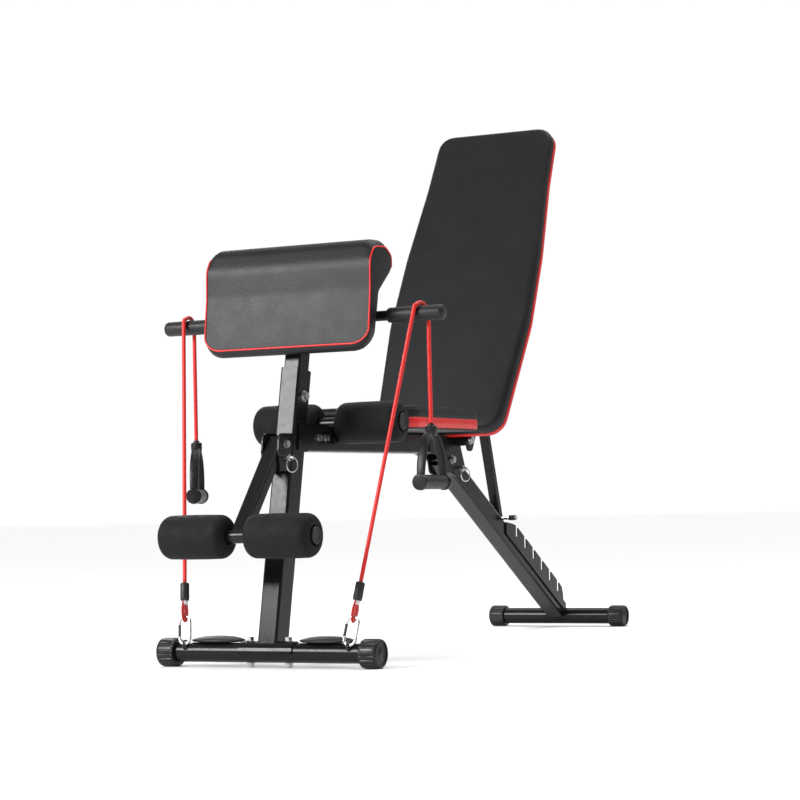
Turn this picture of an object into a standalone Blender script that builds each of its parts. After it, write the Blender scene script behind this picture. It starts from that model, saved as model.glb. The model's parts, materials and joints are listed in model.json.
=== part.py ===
"""Decline sit up bench with preacher pad, foam leg rollers and clip-on resistance cords.

Metres, +Z up, floor at z = 0. While the pieces are made, y is measured backwards from the
axis of the front foot tube; the last line of main() then moves the whole bench so that the
origin lies on the floor under the middle of its bounding box. +X is the right-hand side as
seen by someone who faces the front of the bench.
"""

import math

import bmesh
import bpy
from mathutils import Euler, Matrix, Vector

# ---------------------------------------------------------------- driving dimensions
GAP = 0.0003                    # clearance between pieces that touch
ROUND_STEPS = 20                # sides of a tube
CORNER_STEPS = 3                # points in a rounded corner

FOOT_TUBE_R = 0.018
TUBE_WALL = 0.002
FRONT_FOOT_LENGTH = 0.459
FRONT_CAP_R = 0.0266
REAR_FOOT_Y = 1.307
REAR_FOOT_LENGTH = 0.3325
REAR_CAP_R = 0.0238
CAP_LENGTH = 0.036
CAP_WALL = 0.004

POST_WIDTH = 0.040
POST_DEPTH = 0.0475
POST_LEAN = math.radians(12.0)  # backwards from the vertical
POST_FRONT_Y = -0.0126          # front face of the post, at this height
POST_FRONT_Z = 0.039
POST_LENGTH = 0.522
INNER_POST = (0.0335, 0.037)    # width, depth

BEAM_WIDTH = 0.040
BEAM_BOTTOM = 0.391
BEAM_TOP = 0.4325
BEAM_FRONT_Y = 0.1222
BEAM_REAR_Y = 0.680
PLATE = 0.003                   # steel plate thickness

ROLLER_R = 0.0395
ROLLER_BAR_R = 0.0125
ROLLER_BAR_HALF = 0.158
ROLLER_INNER_X = 0.0225
UPPER_ROLLER_Y = 0.245
UPPER_ROLLER_Z = BEAM_TOP + GAP + ROLLER_BAR_R
LOWER_ROLLER_Y = -0.0973
LOWER_ROLLER_Z = 0.2392
ARM_PIVOT = (0.040, 0.4045)     # y, z
ARM_LOCK = (0.039, 0.379)
ARM_TUBE = (0.030, 0.022)       # width, depth

LEG_PIVOT = (0.722, 0.379)
LEG_SLOPE = -0.5915             # rise over run of the rear leg
LEG_SIZE = 0.040
LEG_LOCK = (0.757, 0.360)
RACK_FIRST_SLOT_Y = 1.040
RACK_PITCH = 0.0435
RACK_SLOTS = 6
RACK_TOOTH = 0.0197             # height of the teeth over the leg, measured upwards
RACK_SLOT_WIDTH = 0.0115

BACK_PIVOT = (0.7467, 0.42)
BACK_ANGLE = math.radians(63.0)  # backrest at rest, from the horizontal
BACK_PAD_FRONT = 0.063          # pad face in front of the pivot line
BACK_PAD_THICK = 0.038
BOARD_THICK = 0.009
BACK_TUBE = (0.025, 0.030)      # width, depth
STRUT_UP = 0.23                 # strut bolt, up the backrest from its pivot
STRUT_BEHIND = 0.030            # and behind the pivot line
STRUT_FOOT = (0.99, 0.2536)     # axis of the rack pin at rest
STRUT_SIZE = (0.020, 0.016)     # width, depth
HINGE_HALF = 0.050              # half length of the cross tube that carries the backrest

SEAT_Y = (0.295, 0.620)
SEAT_HALF_WIDTH = 0.145
SEAT_TOP = 0.4805

BAR_Y, BAR_Z = 0.1426, 0.637    # handlebar
BAR_R = 0.0095
BAR_HALF = 0.298
GRIP_R = 0.014
GRIP_LENGTH = 0.114
CURL_HALF_WIDTH = 0.176

CORD_R = 0.00375
EYELET_X = 0.171                # eyelets on the front foot tube, facing forwards and up
EYELET_TILT = math.radians(45.0)
EYELET_R = 0.008
CORD_TOP = {"left": -0.248, "right": 0.246}     # x where a cord meets its grip
HANDLE_X = {"left": -0.250, "right": 0.256}
COLLAR_TOP = {"left": 0.421, "right": 0.436}    # z of the top of a handle
HANDLE_TURN = {"left": math.radians(115.0), "right": math.radians(92.0)}
CLIP_HALF_WIDTH = 0.0115
CLIP_LENGTH = 0.056
CLIP_WIRE_R = 0.0023
HANDLE_BALL_R = 0.006           # round top that the cord is knotted in, centred on the swing
STRAP_LENGTH = 0.036
SLEEVE_LENGTH = 0.034
SLEEVE_R = 0.0088
SIDES = {"left": -1, "right": 1}

# ---------------------------------------------------------------- derived places
LEG_DROP = math.atan(-LEG_SLOPE)
POST_AXIS = Vector((0, math.sin(POST_LEAN), math.cos(POST_LEAN)))
POST_BACKWARD = Vector((0, math.cos(POST_LEAN), -math.sin(POST_LEAN)))
POST_FOOT = Vector((0, POST_FRONT_Y, POST_FRONT_Z)) + POST_BACKWARD * POST_DEPTH / 2
BACK_UP = Vector((0, math.cos(BACK_ANGLE), math.sin(BACK_ANGLE)))
BACK_BEHIND = Vector((0, math.sin(BACK_ANGLE), -math.cos(BACK_ANGLE)))
CENTRE_Y = ((LOWER_ROLLER_Y - ROLLER_R) + (REAR_FOOT_Y + REAR_CAP_R)) / 2


def leg_top(y):
    """Height of the rear leg's top face."""
    return LEG_PIVOT[1] + LEG_SLOPE * (y - LEG_PIVOT[0]) + LEG_SIZE / 2 / math.cos(LEG_DROP)


def on_back(up, behind, x=0.0):
    """A point given along the backrest from its pivot, and behind the pivot line."""
    pivot = Vector((0, *BACK_PIVOT))
    return pivot + BACK_UP * up + BACK_BEHIND * behind + Vector((x, 0, 0))


STRUT_HEAD = on_back(STRUT_UP, STRUT_BEHIND)
CORD_RING = GRIP_R + CORD_R + 0.0024            # radius of the cord's bend over a grip

# ---------------------------------------------------------------- scene and materials


def clear_scene():
    for obj in list(bpy.data.objects):
        bpy.data.objects.remove(obj, do_unlink=True)


def make_collection(name):
    made = bpy.data.collections.new(name)
    bpy.context.scene.collection.children.link(made)
    return made


def make_material(name, color, roughness, metallic=0.0):
    material = bpy.data.materials.new(name)
    material.use_nodes = True
    shader = material.node_tree.nodes["Principled BSDF"]
    shader.inputs["Base Color"].default_value = (*color, 1.0)
    shader.inputs["Roughness"].default_value = roughness
    shader.inputs["Metallic"].default_value = metallic
    material.diffuse_color = (*color, 1.0)
    return material


MATERIALS = {}
PARTS = None
CUTTERS = None
BODIES = {}


def make_materials():
    MATERIALS.update(
        steel=make_material("black_steel", (0.022, 0.023, 0.026), 0.32, 0.3),
        zinc=make_material("zinc", (0.62, 0.62, 0.60), 0.3, 1.0),
        vinyl=make_material("black_vinyl", (0.022, 0.022, 0.024), 0.45),
        foam=make_material("black_foam", (0.018, 0.018, 0.019), 0.85),
        plastic=make_material("black_plastic", (0.020, 0.020, 0.021), 0.5),
        board=make_material("board", (0.030, 0.028, 0.026), 0.7),
        grip=make_material("grip_foam", (0.020, 0.020, 0.021), 0.8),
        cord=make_material("red_cord", (0.75, 0.03, 0.03), 0.5),
        webbing=make_material("red_webbing", (0.70, 0.02, 0.02), 0.7),
        clip=make_material("clip_steel", (0.66, 0.66, 0.66), 0.25, 1.0),
    )


def make_body(name, y, z, parent=None):
    """An empty on the joint axis of one moving group."""
    empty = bpy.data.objects.new("joint_" + name, None)
    empty.location = (0, y, z)
    PARTS.objects.link(empty)
    if parent:
        empty.parent = BODIES[parent]
        bpy.context.view_layer.update()
        empty.matrix_parent_inverse = BODIES[parent].matrix_world.inverted()
    bpy.context.view_layer.update()
    BODIES[name] = empty


def make_bodies():
    make_body("frame", 0, 0)
    make_body("roller_arm", *ARM_PIVOT, "frame")
    make_body("rear_leg", *LEG_PIVOT, "frame")
    make_body("backrest", *BACK_PIVOT, "frame")
    make_body("support_strut", STRUT_HEAD.y, STRUT_HEAD.z, "backrest")
    make_body("curl_post", BAR_Y, BAR_Z, "frame")
    for side in SIDES:
        make_body("upper_roller_" + side, UPPER_ROLLER_Y, UPPER_ROLLER_Z, "frame")
        make_body("lower_roller_" + side, LOWER_ROLLER_Y, LOWER_ROLLER_Z, "roller_arm")
        make_body("handle_" + side, BAR_Y + CORD_RING, COLLAR_TOP[side] - HANDLE_BALL_R, "curl_post")
    make_body("arm_lock_pin", *ARM_LOCK, "frame")
    make_body("leg_lock_pin", *LEG_LOCK, "frame")


# ---------------------------------------------------------------- shape helpers


def place(obj, name, material, body):
    """Names a finished piece, gives it its material and hangs it on its body."""
    obj.name = name
    obj.data.name = name
    obj.data.materials.clear()
    obj.data.materials.append(MATERIALS[material])
    for used in list(obj.users_collection):
        used.objects.unlink(obj)
    PARTS.objects.link(obj)
    bpy.context.view_layer.update()
    obj.parent = BODIES[body]
    obj.matrix_parent_inverse = BODIES[body].matrix_world.inverted()
    if obj.type == "MESH":
        obj.data.shade_smooth()
        obj.data.set_sharp_from_angle(angle=math.radians(40))
    return obj


def hide_tool(obj):
    """Keeps a cutter or a joined shape out of the build."""
    obj.hide_render = True
    obj.display_type = "WIRE"
    for used in list(obj.users_collection):
        used.objects.unlink(obj)
    CUTTERS.objects.link(obj)
    return obj


def link(obj):
    bpy.context.scene.collection.objects.link(obj)
    return obj


def boolean(target, tool, operation):
    modifier = target.modifiers.new(operation.lower(), "BOOLEAN")
    modifier.operation = operation
    modifier.object = hide_tool(tool)
    return target


def cut(target, *tools):
    for tool in tools:
        boolean(target, tool, "DIFFERENCE")
    return target


def join(target, *tools):
    for tool in tools:
        boolean(target, tool, "UNION")
    return target


def bevel(obj, width, segments=2):
    modifier = obj.modifiers.new("bevel", "BEVEL")
    modifier.width = width
    modifier.segments = segments
    modifier.limit_method = "ANGLE"
    modifier.angle_limit = math.radians(50)
    return obj


def as_mesh(curve):
    """A curve object as a mesh object whose caps are welded to its sides."""
    bpy.context.view_layer.update()
    graph = bpy.context.evaluated_depsgraph_get()
    mesh = bpy.data.meshes.new_from_object(curve.evaluated_get(graph))
    edit = bmesh.new()
    edit.from_mesh(mesh)
    bmesh.ops.remove_doubles(edit, verts=edit.verts, dist=1e-6)
    bmesh.ops.recalc_face_normals(edit, faces=edit.faces)
    edit.to_mesh(mesh)
    edit.free()
    made = link(bpy.data.objects.new(curve.name, mesh))
    made.matrix_world = curve.matrix_world.copy()
    bpy.data.objects.remove(curve, do_unlink=True)
    return made


def rounded(corners, steps=CORNER_STEPS):
    """The outline through corners (u, v, radius), with an arc at each corner."""
    points = []
    for i, (u, v, radius) in enumerate(corners):
        here = Vector((u, v))
        if radius == 0:
            points.append(here)
            continue
        before = (Vector(corners[i - 1][:2]) - here).normalized()
        after = (Vector(corners[(i + 1) % len(corners)][:2]) - here).normalized()
        half = before.angle(after) / 2
        centre = here + (before + after).normalized() * radius / math.sin(half)
        first = here + before * radius / math.tan(half) - centre
        last = here + after * radius / math.tan(half) - centre
        for k in range(steps + 1):
            points.append(centre + first.slerp(last, k / steps).normalized() * radius)
    return points


def box_corners(width, height, radius):
    w, h = width / 2, height / 2
    return [(-w, -h, radius), (w, -h, radius), (w, h, radius), (-w, h, radius)]


def outline_solid(name, outlines, thickness, matrix):
    """Flat outlines, the first one outside and the others its holes, given a thickness."""
    curve = bpy.data.curves.new(name, "CURVE")
    curve.dimensions = "2D"
    curve.fill_mode = "BOTH"
    curve.extrude = thickness / 2
    for outline in outlines:
        spline = curve.splines.new("POLY")
        spline.points.add(len(outline) - 1)
        spline.use_cyclic_u = True
        for point, (u, v) in zip(spline.points, outline):
            point.co = (u, v, 0, 1)
    obj = link(bpy.data.objects.new(name, curve))
    obj.matrix_world = matrix
    return as_mesh(obj)


def side_plate(name, corners, x, thickness=PLATE, holes=()):
    """A plate in the y-z plane, centred on x. Holes are (y, z, radius)."""
    to_side = Matrix(((0, 0, 1, x), (1, 0, 0, 0), (0, 1, 0, 0), (0, 0, 0, 1)))
    outlines = [rounded(corners)]
    for y, z, radius in holes:
        turn = [2 * math.pi * k / 12 for k in range(12)]
        outlines.append([Vector((y + radius * math.cos(a), z + radius * math.sin(a))) for a in turn])
    return outline_solid(name, outlines, thickness, to_side)


def box_tube(name, start, end, width, depth, wall=0.0, radius=0.004):
    """A rectangular tube from start to end in the y-z plane; solid when wall is 0."""
    start, end = Vector(start), Vector(end)
    along = (end - start).normalized()
    sideways = Vector((1, 0, 0))
    across = along.cross(sideways)
    middle = (start + end) / 2
    matrix = Matrix.Translation(middle) @ Matrix((sideways, across, along)).transposed().to_4x4()
    outlines = [rounded(box_corners(width, depth, radius), 2)]
    if wall:
        inner = box_corners(width - 2 * wall, depth - 2 * wall, max(radius - wall, 0.0005))
        outlines.append(rounded(inner, 1))
    return outline_solid(name, outlines, (end - start).length, matrix)


def turned(name, profile, origin, axis, steps=ROUND_STEPS):
    """A solid of revolution. The profile is (radius, height) pairs, down its outer side."""
    mesh = bpy.data.meshes.new(name)
    points = [(radius, 0, height) for radius, height in profile]
    closed = profile[0][0] > 0 or profile[-1][0] > 0
    edges = [(i, i + 1) for i in range(len(points) - 1)]
    if closed:
        edges.append((len(points) - 1, 0))
    mesh.from_pydata(points, edges, [])
    obj = link(bpy.data.objects.new(name, mesh))
    screw = obj.modifiers.new("screw", "SCREW")
    screw.steps = steps
    screw.render_steps = steps
    screw.use_merge_vertices = True
    screw.merge_threshold = 0.00001
    turn = Vector((0, 0, 1)).rotation_difference(Vector(axis))
    obj.matrix_world = Matrix.Translation(origin) @ turn.to_matrix().to_4x4()
    return obj


def rod(name, start, end, radius, bore=0.0, steps=ROUND_STEPS):
    """A round bar, or a tube when bore is its inner radius."""
    start, end = Vector(start), Vector(end)
    length = (end - start).length
    inner = [(bore, 0), (bore, length)] if bore else [(0, 0)]
    top = [] if bore else [(0, length)]
    return turned(name, top + [(radius, length), (radius, 0)] + inner, start, end - start, steps)


def hexagon(name, centre, axis, across, thickness):
    """A hexagonal bolt head or nut, centred on a point."""
    mesh = bpy.data.meshes.new(name)
    edit = bmesh.new()
    radius = across / 2 / math.cos(math.pi / 6)
    bmesh.ops.create_cone(edit, cap_ends=True, segments=6, radius1=radius, radius2=radius, depth=thickness)
    edit.to_mesh(mesh)
    edit.free()
    obj = link(bpy.data.objects.new(name, mesh))
    turn = Vector((0, 0, 1)).rotation_difference(Vector(axis))
    obj.matrix_world = Matrix.Translation(centre) @ turn.to_matrix().to_4x4()
    return obj


def bolt(name, start, end, radius=0.004, across=0.013, washer=0.0085, nut=True):
    """A bolt whose shank runs from start to end, with washers, a hex head and a hex nut."""
    start, end = Vector(start), Vector(end)
    axis = (end - start).normalized()
    washer_thick, head_thick = 0.0014, 0.0055
    bolt_body = rod(name, start - axis * 0.001, end + axis * 0.002, radius, steps=12)
    extras = [
        rod(name + "_washer_a", start - axis * washer_thick, start, washer, steps=16),
        hexagon(name + "_head", start - axis * (washer_thick + head_thick / 2 - 0.0002), axis, across, head_thick),
    ]
    if nut:
        extras.append(rod(name + "_washer_b", end, end + axis * washer_thick, washer, steps=16))
        nut_centre = end + axis * (washer_thick + head_thick / 2 - 0.0002)
        extras.append(hexagon(name + "_nut", nut_centre, axis, across, head_thick))
    return join(bolt_body, *extras)


def wire(name, points, radius, cyclic=False, resolution=2):
    """A round wire along points, as a curve."""
    curve = bpy.data.curves.new(name, "CURVE")
    curve.dimensions = "3D"
    curve.bevel_depth = radius
    curve.bevel_resolution = resolution
    curve.use_fill_caps = not cyclic
    spline = curve.splines.new("POLY")
    spline.points.add(len(points) - 1)
    spline.use_cyclic_u = cyclic
    for point, co in zip(spline.points, points):
        point.co = (*co, 1)
    return link(bpy.data.objects.new(name, curve))


def smooth_path(points, spacing):
    """Evenly spaced points on a Catmull-Rom curve through the given points."""
    points = [Vector(p) for p in points]
    ends = [2 * points[0] - points[1]] + points + [2 * points[-1] - points[-2]]
    fine = []
    for a, b, c, d in zip(ends, ends[1:], ends[2:], ends[3:]):
        for k in range(16):
            t = k / 16
            fine.append(0.5 * (2 * b + (c - a) * t + (2 * a - 5 * b + 4 * c - d) * t ** 2
                               + (3 * b - a - 3 * c + d) * t ** 3))
    fine.append(points[-1])
    lengths = [0.0]
    for a, b in zip(fine, fine[1:]):
        lengths.append(lengths[-1] + (b - a).length)
    count = max(2, round(lengths[-1] / spacing))
    out, i = [], 0
    for k in range(count + 1):
        want = lengths[-1] * k / count
        while i < len(fine) - 2 and lengths[i + 1] < want:
            i += 1
        share = (want - lengths[i]) / (lengths[i + 1] - lengths[i])
        out.append(fine[i].lerp(fine[i + 1], share))
    return out


def oval(centre, across, upward, half_across, half_up, count=16):
    """Points round an ellipse in the plane of two directions."""
    centre, across, upward = Vector(centre), Vector(across).normalized(), Vector(upward).normalized()
    turn = [2 * math.pi * k / count for k in range(count)]
    return [centre + across * half_across * math.cos(a) + upward * half_up * math.sin(a) for a in turn]


# ---------------------------------------------------------------- front foot and post


def foot_tube(name, y, z, length, body, material="steel"):
    half = length / 2 - CAP_WALL - GAP
    tube = rod(name, (-half, y, z), (half, y, z), FOOT_TUBE_R, FOOT_TUBE_R - TUBE_WALL)
    return place(tube, name, material, body)


def foot_cap(name, side, y, z, length, radius, ribs, body):
    """A ribbed rubber-like cap pushed over the end of a foot tube."""
    sign = SIDES[side]
    count = ribs * 4
    outline = []
    for k in range(count):
        angle = 2 * math.pi * (k + 0.5) / count - math.pi / 2
        r = radius if k % 4 in (0, 3) else radius - 0.0014
        outline.append(Vector((r * math.cos(angle), r * math.sin(angle))))
    outer = sign * length / 2
    inner = outer - sign * CAP_LENGTH
    to_side = Matrix(((0, 0, 1, (outer + inner) / 2), (1, 0, 0, y), (0, 1, 0, z), (0, 0, 0, 1)))
    cap = outline_solid(name, [outline], CAP_LENGTH, to_side)
    bore_end = outer - sign * CAP_WALL
    bore = rod(name + "_bore", (inner - sign * 0.01, y, z), (bore_end, y, z), FOOT_TUBE_R + GAP)
    return place(cut(cap, bore), name, "plastic", body)


def on_foot(x, radius):
    """A point on the forward and upward line of the eyelets, this far from the tube's axis."""
    return Vector((x, -radius * math.sin(EYELET_TILT), FRONT_CAP_R + radius * math.cos(EYELET_TILT)))


def make_front_foot():
    z = FRONT_CAP_R
    tube = foot_tube("front_foot_tube", 0, z, FRONT_FOOT_LENGTH, "frame")
    bolt_x = 0.040
    for side, sign in SIDES.items():
        foot_cap("front_foot_cap_" + side, side, 0, z, FRONT_FOOT_LENGTH, FRONT_CAP_R, 14, "frame")
        x = sign * bolt_x
        cut(tube, rod("foot_hole_" + side, (x, 0, 0), (x, 0, 0.06), 0.0046, steps=12))
        eyelet_centre = on_foot(sign * EYELET_X, FOOT_TUBE_R + 0.002)
        ring = as_mesh(wire("eyelet_" + side, oval(eyelet_centre, (0, 1, 0), (0, 0, 1), EYELET_R, EYELET_R), 0.002,
                            cyclic=True, resolution=1))
        join(tube, ring)
        top = z + FOOT_TUBE_R + PLATE + 2 * GAP
        below = z - FOOT_TUBE_R - GAP
        fixing = bolt("foot_bolt_" + side, (x, 0, top + 0.0002), (x, 0, below - 0.0002), 0.004, 0.012, 0.0075)
        place(fixing, "foot_bolt_" + side, "zinc", "frame")


def make_front_post():
    """The leaning square post, with the curved saddle that sits on the foot tube."""
    top = POST_FOOT + POST_AXIS * POST_LENGTH
    post = box_tube("front_post", POST_FOOT, top, POST_WIDTH, POST_DEPTH, TUBE_WALL)
    z = FRONT_CAP_R
    inner, outer = FOOT_TUBE_R + GAP, FOOT_TUBE_R + GAP + PLATE
    angles = [math.radians(-4 + 188 * k / 12) for k in range(13)]
    shell = [Vector((outer * math.cos(a), outer * math.sin(a))) for a in angles]
    shell += [Vector((inner * math.cos(a), inner * math.sin(a))) for a in reversed(angles)]
    to_side = Matrix(((0, 0, 1, 0), (1, 0, 0, 0), (0, 1, 0, z), (0, 0, 0, 1)))
    saddle = outline_solid("saddle", [shell], 0.112, to_side)
    tube_space = rod("tube_space", (-0.2, 0, z), (0.2, 0, z), inner, steps=24)
    join(post, saddle)
    cut(post, tube_space)
    for sign in (-1, 1):
        x = sign * 0.040
        cut(post, rod("saddle_hole", (x, 0, z), (x, 0, z + 0.05), 0.0046, steps=12))
    screw_at = POST_FOOT + POST_AXIS * 0.470
    cut(post, rod("screw_hole", screw_at + Vector((0.010, 0, 0)), screw_at + Vector((0.05, 0, 0)), 0.0044, steps=12))
    place(post, "front_post", "steel", "frame")
    inner_face = INNER_POST[0] / 2
    screw = rod("clamp_screw", screw_at + Vector((inner_face + GAP, 0, 0)),
                screw_at + Vector((POST_WIDTH / 2 + 0.004, 0, 0)), 0.004, steps=12)
    washer_a = screw_at + Vector((POST_WIDTH / 2 + GAP, 0, 0))
    washer_b = washer_a + Vector((0.0025, 0, 0))
    join(screw, rod("screw_washer", washer_a, washer_b, 0.011, steps=16),
         hexagon("screw_head", washer_b + Vector((0.003, 0, 0)), (1, 0, 0), 0.014, 0.0065))
    place(screw, "clamp_screw", "zinc", "frame")


def make_footplates():
    """Two flat oval foot rests, each a shallow dome on top of the foot tube."""
    base = FRONT_CAP_R + FOOT_TUBE_R + GAP
    for side, sign in SIDES.items():
        centre = Matrix.Translation((sign * 0.114, 0.010, base + 0.0055))
        outline = [Vector((0.050 * math.cos(a), 0.026 * math.sin(a)))
                   for a in (2 * math.pi * k / 24 for k in range(24))]
        plate = outline_solid("footplate", [outline], 0.011, centre)
        bevel(plate, 0.0045, 2)
        place(plate, "footplate_" + side, "plastic", "frame")


# ---------------------------------------------------------------- roller arm and rollers


def post_front(z, inset=0.0):
    """y of the post's front face at a height, moved forwards by inset."""
    return POST_FRONT_Y + (z - POST_FRONT_Z) * math.tan(POST_LEAN) - inset


def make_arm_bracket():
    """A U-shaped bracket on the front of the post, whose ears hold the roller arm."""
    low, high = 0.355, 0.4245
    back_low, back_high = post_front(low, GAP), post_front(high, GAP)
    width = ARM_TUBE[0] + 2 * (PLATE + 2 * GAP)
    ear = [(back_low, low, 0), (back_high, high, 0), (back_high - 0.050, high, 0.014),
           (0.014, 0.392, 0.012), (0.020, low, 0.006)]
    bracket = side_plate("arm_bracket", ear, 0, width)
    inside = [(back_low - PLATE, low - 0.01, 0), (back_high - PLATE + 0.002, high + 0.01, 0),
              (-0.08, high + 0.01, 0), (-0.08, low - 0.01, 0)]
    space = side_plate("bracket_space", inside, 0, ARM_TUBE[0] + 4 * GAP)
    cut(bracket, space)
    for y, z in (ARM_PIVOT, ARM_LOCK):
        cut(bracket, rod("ear_hole", (-0.05, y, z), (0.05, y, z), 0.0044, steps=12))
    place(bracket, "arm_bracket", "steel", "frame")
    half = width / 2 + GAP
    pivot_bolt = bolt("arm_pivot_bolt", (half, *ARM_PIVOT), (-half, *ARM_PIVOT), 0.004, 0.012, 0.0075)
    place(pivot_bolt, "arm_pivot_bolt", "zinc", "frame")
    make_lock_pin("arm_lock_pin", ARM_TUBE[0] / 2 + 2 * GAP, half, ARM_LOCK)


def make_lock_pin(name, tip_x, face_x, place_yz):
    """A spring pull pin on the right-hand plate, with its wire ring."""
    y, z = place_yz
    pin = rod(name, (tip_x, y, z), (face_x + 0.016, y, z), 0.0038, steps=12)
    collar = rod(name + "_collar", (face_x, y, z), (face_x + 0.009, y, z), 0.0065, steps=12)
    ring_centre = (face_x + 0.0135, y, z - 0.0125)
    ring = as_mesh(wire(name + "_ring", oval(ring_centre, (0.35, 1, 0), (0, 0, 1), 0.013, 0.014, 20), 0.0011,
                        cyclic=True, resolution=1))
    join(pin, collar, ring)
    place(pin, name, "zinc", name)


def make_roller_arm():
    pivot = Vector((0, *ARM_PIVOT))
    end = Vector((0, LOWER_ROLLER_Y, LOWER_ROLLER_Z))
    along = (end - pivot).normalized()
    arm = box_tube("roller_arm", pivot - along * 0.010, end, *ARM_TUBE, TUBE_WALL, 0.003)
    bar_space = rod("bar_space", (-0.1, end.y, end.z), (0.1, end.y, end.z), ROLLER_BAR_R + GAP, steps=24)
    pivot_space = rod("pivot_space", (-0.1, pivot.y, pivot.z), (0.1, pivot.y, pivot.z), 0.0044, steps=12)
    cut(arm, bar_space, pivot_space)
    place(arm, "roller_arm", "steel", "roller_arm")
    make_roller_set("lower", LOWER_ROLLER_Y, LOWER_ROLLER_Z, "roller_arm")
    make_roller_set("upper", UPPER_ROLLER_Y, UPPER_ROLLER_Z, "frame")


def make_roller_set(level, y, z, body):
    """A cross bar with end discs, and the two foam rollers that turn on it."""
    half = ROLLER_BAR_HALF
    disc = 0.0022
    profile = [(0, half), (ROLLER_BAR_R + 0.0035, half), (ROLLER_BAR_R + 0.0035, half - disc),
               (ROLLER_BAR_R, half - disc), (ROLLER_BAR_R, disc - half),
               (ROLLER_BAR_R + 0.0035, disc - half), (ROLLER_BAR_R + 0.0035, -half), (0, -half)]
    bar = turned(level + "_roller_bar", profile, (0, y, z), (1, 0, 0))
    place(bar, level + "_roller_bar", "steel", body)
    bore = ROLLER_BAR_R + 0.0008
    length = half - disc - 0.0008 - ROLLER_INNER_X
    edge = 0.013
    arc = [math.radians(90 * k / 4) for k in range(5)]
    far = [(ROLLER_R - edge + edge * math.sin(a), length - edge + edge * math.cos(a)) for a in arc]
    near = [(ROLLER_R - edge + edge * math.cos(a), edge - edge * math.sin(a)) for a in arc]
    for side, sign in SIDES.items():
        name = f"{level}_roller_{side}"
        foam = turned(name, far + near + [(bore, 0), (bore, length)],
                      (sign * ROLLER_INNER_X, y, z), (sign, 0, 0), 24)
        place(foam, name, "foam", name)


# ---------------------------------------------------------------- beam, brackets and seat


def make_beam():
    middle = (BEAM_BOTTOM + BEAM_TOP) / 2
    beam = box_tube("seat_beam", (0, BEAM_FRONT_Y, middle), (0, BEAM_REAR_Y, middle), BEAM_WIDTH,
                    BEAM_TOP - BEAM_BOTTOM, TUBE_WALL)
    bolt_places = {"beam_bolt_front": (0.157, 0.417), "beam_bolt_rear": (0.183, 0.417)}
    face = BEAM_WIDTH / 2 + GAP + PLATE + GAP
    for name, (y, z) in bolt_places.items():
        cut(beam, rod(name + "_hole", (-0.05, y, z), (0.05, y, z), 0.0044, steps=12))
        fixing = bolt(name, (face, y, z), (-face, y, z), 0.004, 0.010, 0.0068)
        place(fixing, name, "zinc", "frame")
    place(beam, "seat_beam", "steel", "frame")
    plate_x = BEAM_WIDTH / 2 + GAP + PLATE / 2
    outline = [(0.080, 0.394, 0.003), (0.198, 0.394, 0.006), (0.198, 0.4425, 0.006), (0.086, 0.4425, 0.003)]
    holes = [(*where, 0.0044) for where in bolt_places.values()]
    for side, sign in SIDES.items():
        plate = side_plate("beam_plate", outline, sign * plate_x, PLATE, holes)
        place(plate, "beam_plate_" + side, "steel", "frame")


def make_rear_plates():
    """Two plates that join the beam, the rear leg and the cross tube of the backrest hinge."""
    plate_x = BEAM_WIDTH / 2 + GAP + PLATE / 2
    y, z = BACK_PIVOT
    ring_r = 0.0150             # the ear round the cross tube is thin, to clear the backrest
    ring = [math.radians(-12 + 176 * k / 10) for k in range(11)]
    outline = [(0.622, 0.394, 0.006), (0.700, 0.380, 0.012), (0.706, 0.352, 0.012), (0.776, 0.336, 0.012),
               (0.784, 0.366, 0.012)]
    outline += [(y + ring_r * math.cos(a), z + ring_r * math.sin(a), 0) for a in ring]
    outline += [(0.7283, 0.4212, 0), (0.690, 0.430, 0.008), (0.622, 0.430, 0.006)]
    holes = [(*LEG_PIVOT, 0.0044), (*LEG_LOCK, 0.0044), (*BACK_PIVOT, 0.0125 + 2 * GAP)]
    for side, sign in SIDES.items():
        plate = side_plate("rear_plate", outline, sign * plate_x, PLATE, holes)
        place(plate, "rear_plate_" + side, "steel", "frame")
    face = BEAM_WIDTH / 2 + GAP + PLATE + GAP
    pivot_bolt = bolt("leg_pivot_bolt", (face, *LEG_PIVOT), (-face, *LEG_PIVOT), 0.004, 0.013, 0.009)
    place(pivot_bolt, "leg_pivot_bolt", "zinc", "frame")
    make_lock_pin("leg_lock_pin", LEG_SIZE / 2 + GAP, face, LEG_LOCK)
    tube = rod("hinge_tube", (-HINGE_HALF, y, z), (HINGE_HALF, y, z), 0.0125, 0.0105)
    place(tube, "hinge_tube", "steel", "frame")
    reach = HINGE_HALF + GAP + 0.004 + GAP
    hinge_bolt = bolt("hinge_bolt", (reach, y, z), (-reach, y, z), 0.0045, 0.016, 0.0105)
    place(hinge_bolt, "hinge_bolt", "zinc", "frame")


def make_seat():
    middle_y = sum(SEAT_Y) / 2
    depth = SEAT_Y[1] - SEAT_Y[0]
    board_bottom = BEAM_TOP + GAP
    board_top = board_bottom + BOARD_THICK
    board = outline_solid("seat_board", [rounded(box_corners(2 * SEAT_HALF_WIDTH - 0.014, depth - 0.014, 0.035))],
                          BOARD_THICK, Matrix.Translation((0, middle_y, (board_bottom + board_top) / 2)))
    place(board, "seat_board", "board", "frame")
    pad_bottom = board_top + GAP
    pad = outline_solid("seat_pad", [rounded(box_corners(2 * SEAT_HALF_WIDTH, depth, 0.040), 5)],
                        SEAT_TOP - pad_bottom, Matrix.Translation((0, middle_y, (pad_bottom + SEAT_TOP) / 2)))
    bevel(pad, 0.008, 2)
    place(pad, "seat_pad", "vinyl", "frame")


# ---------------------------------------------------------------- rear leg


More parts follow.
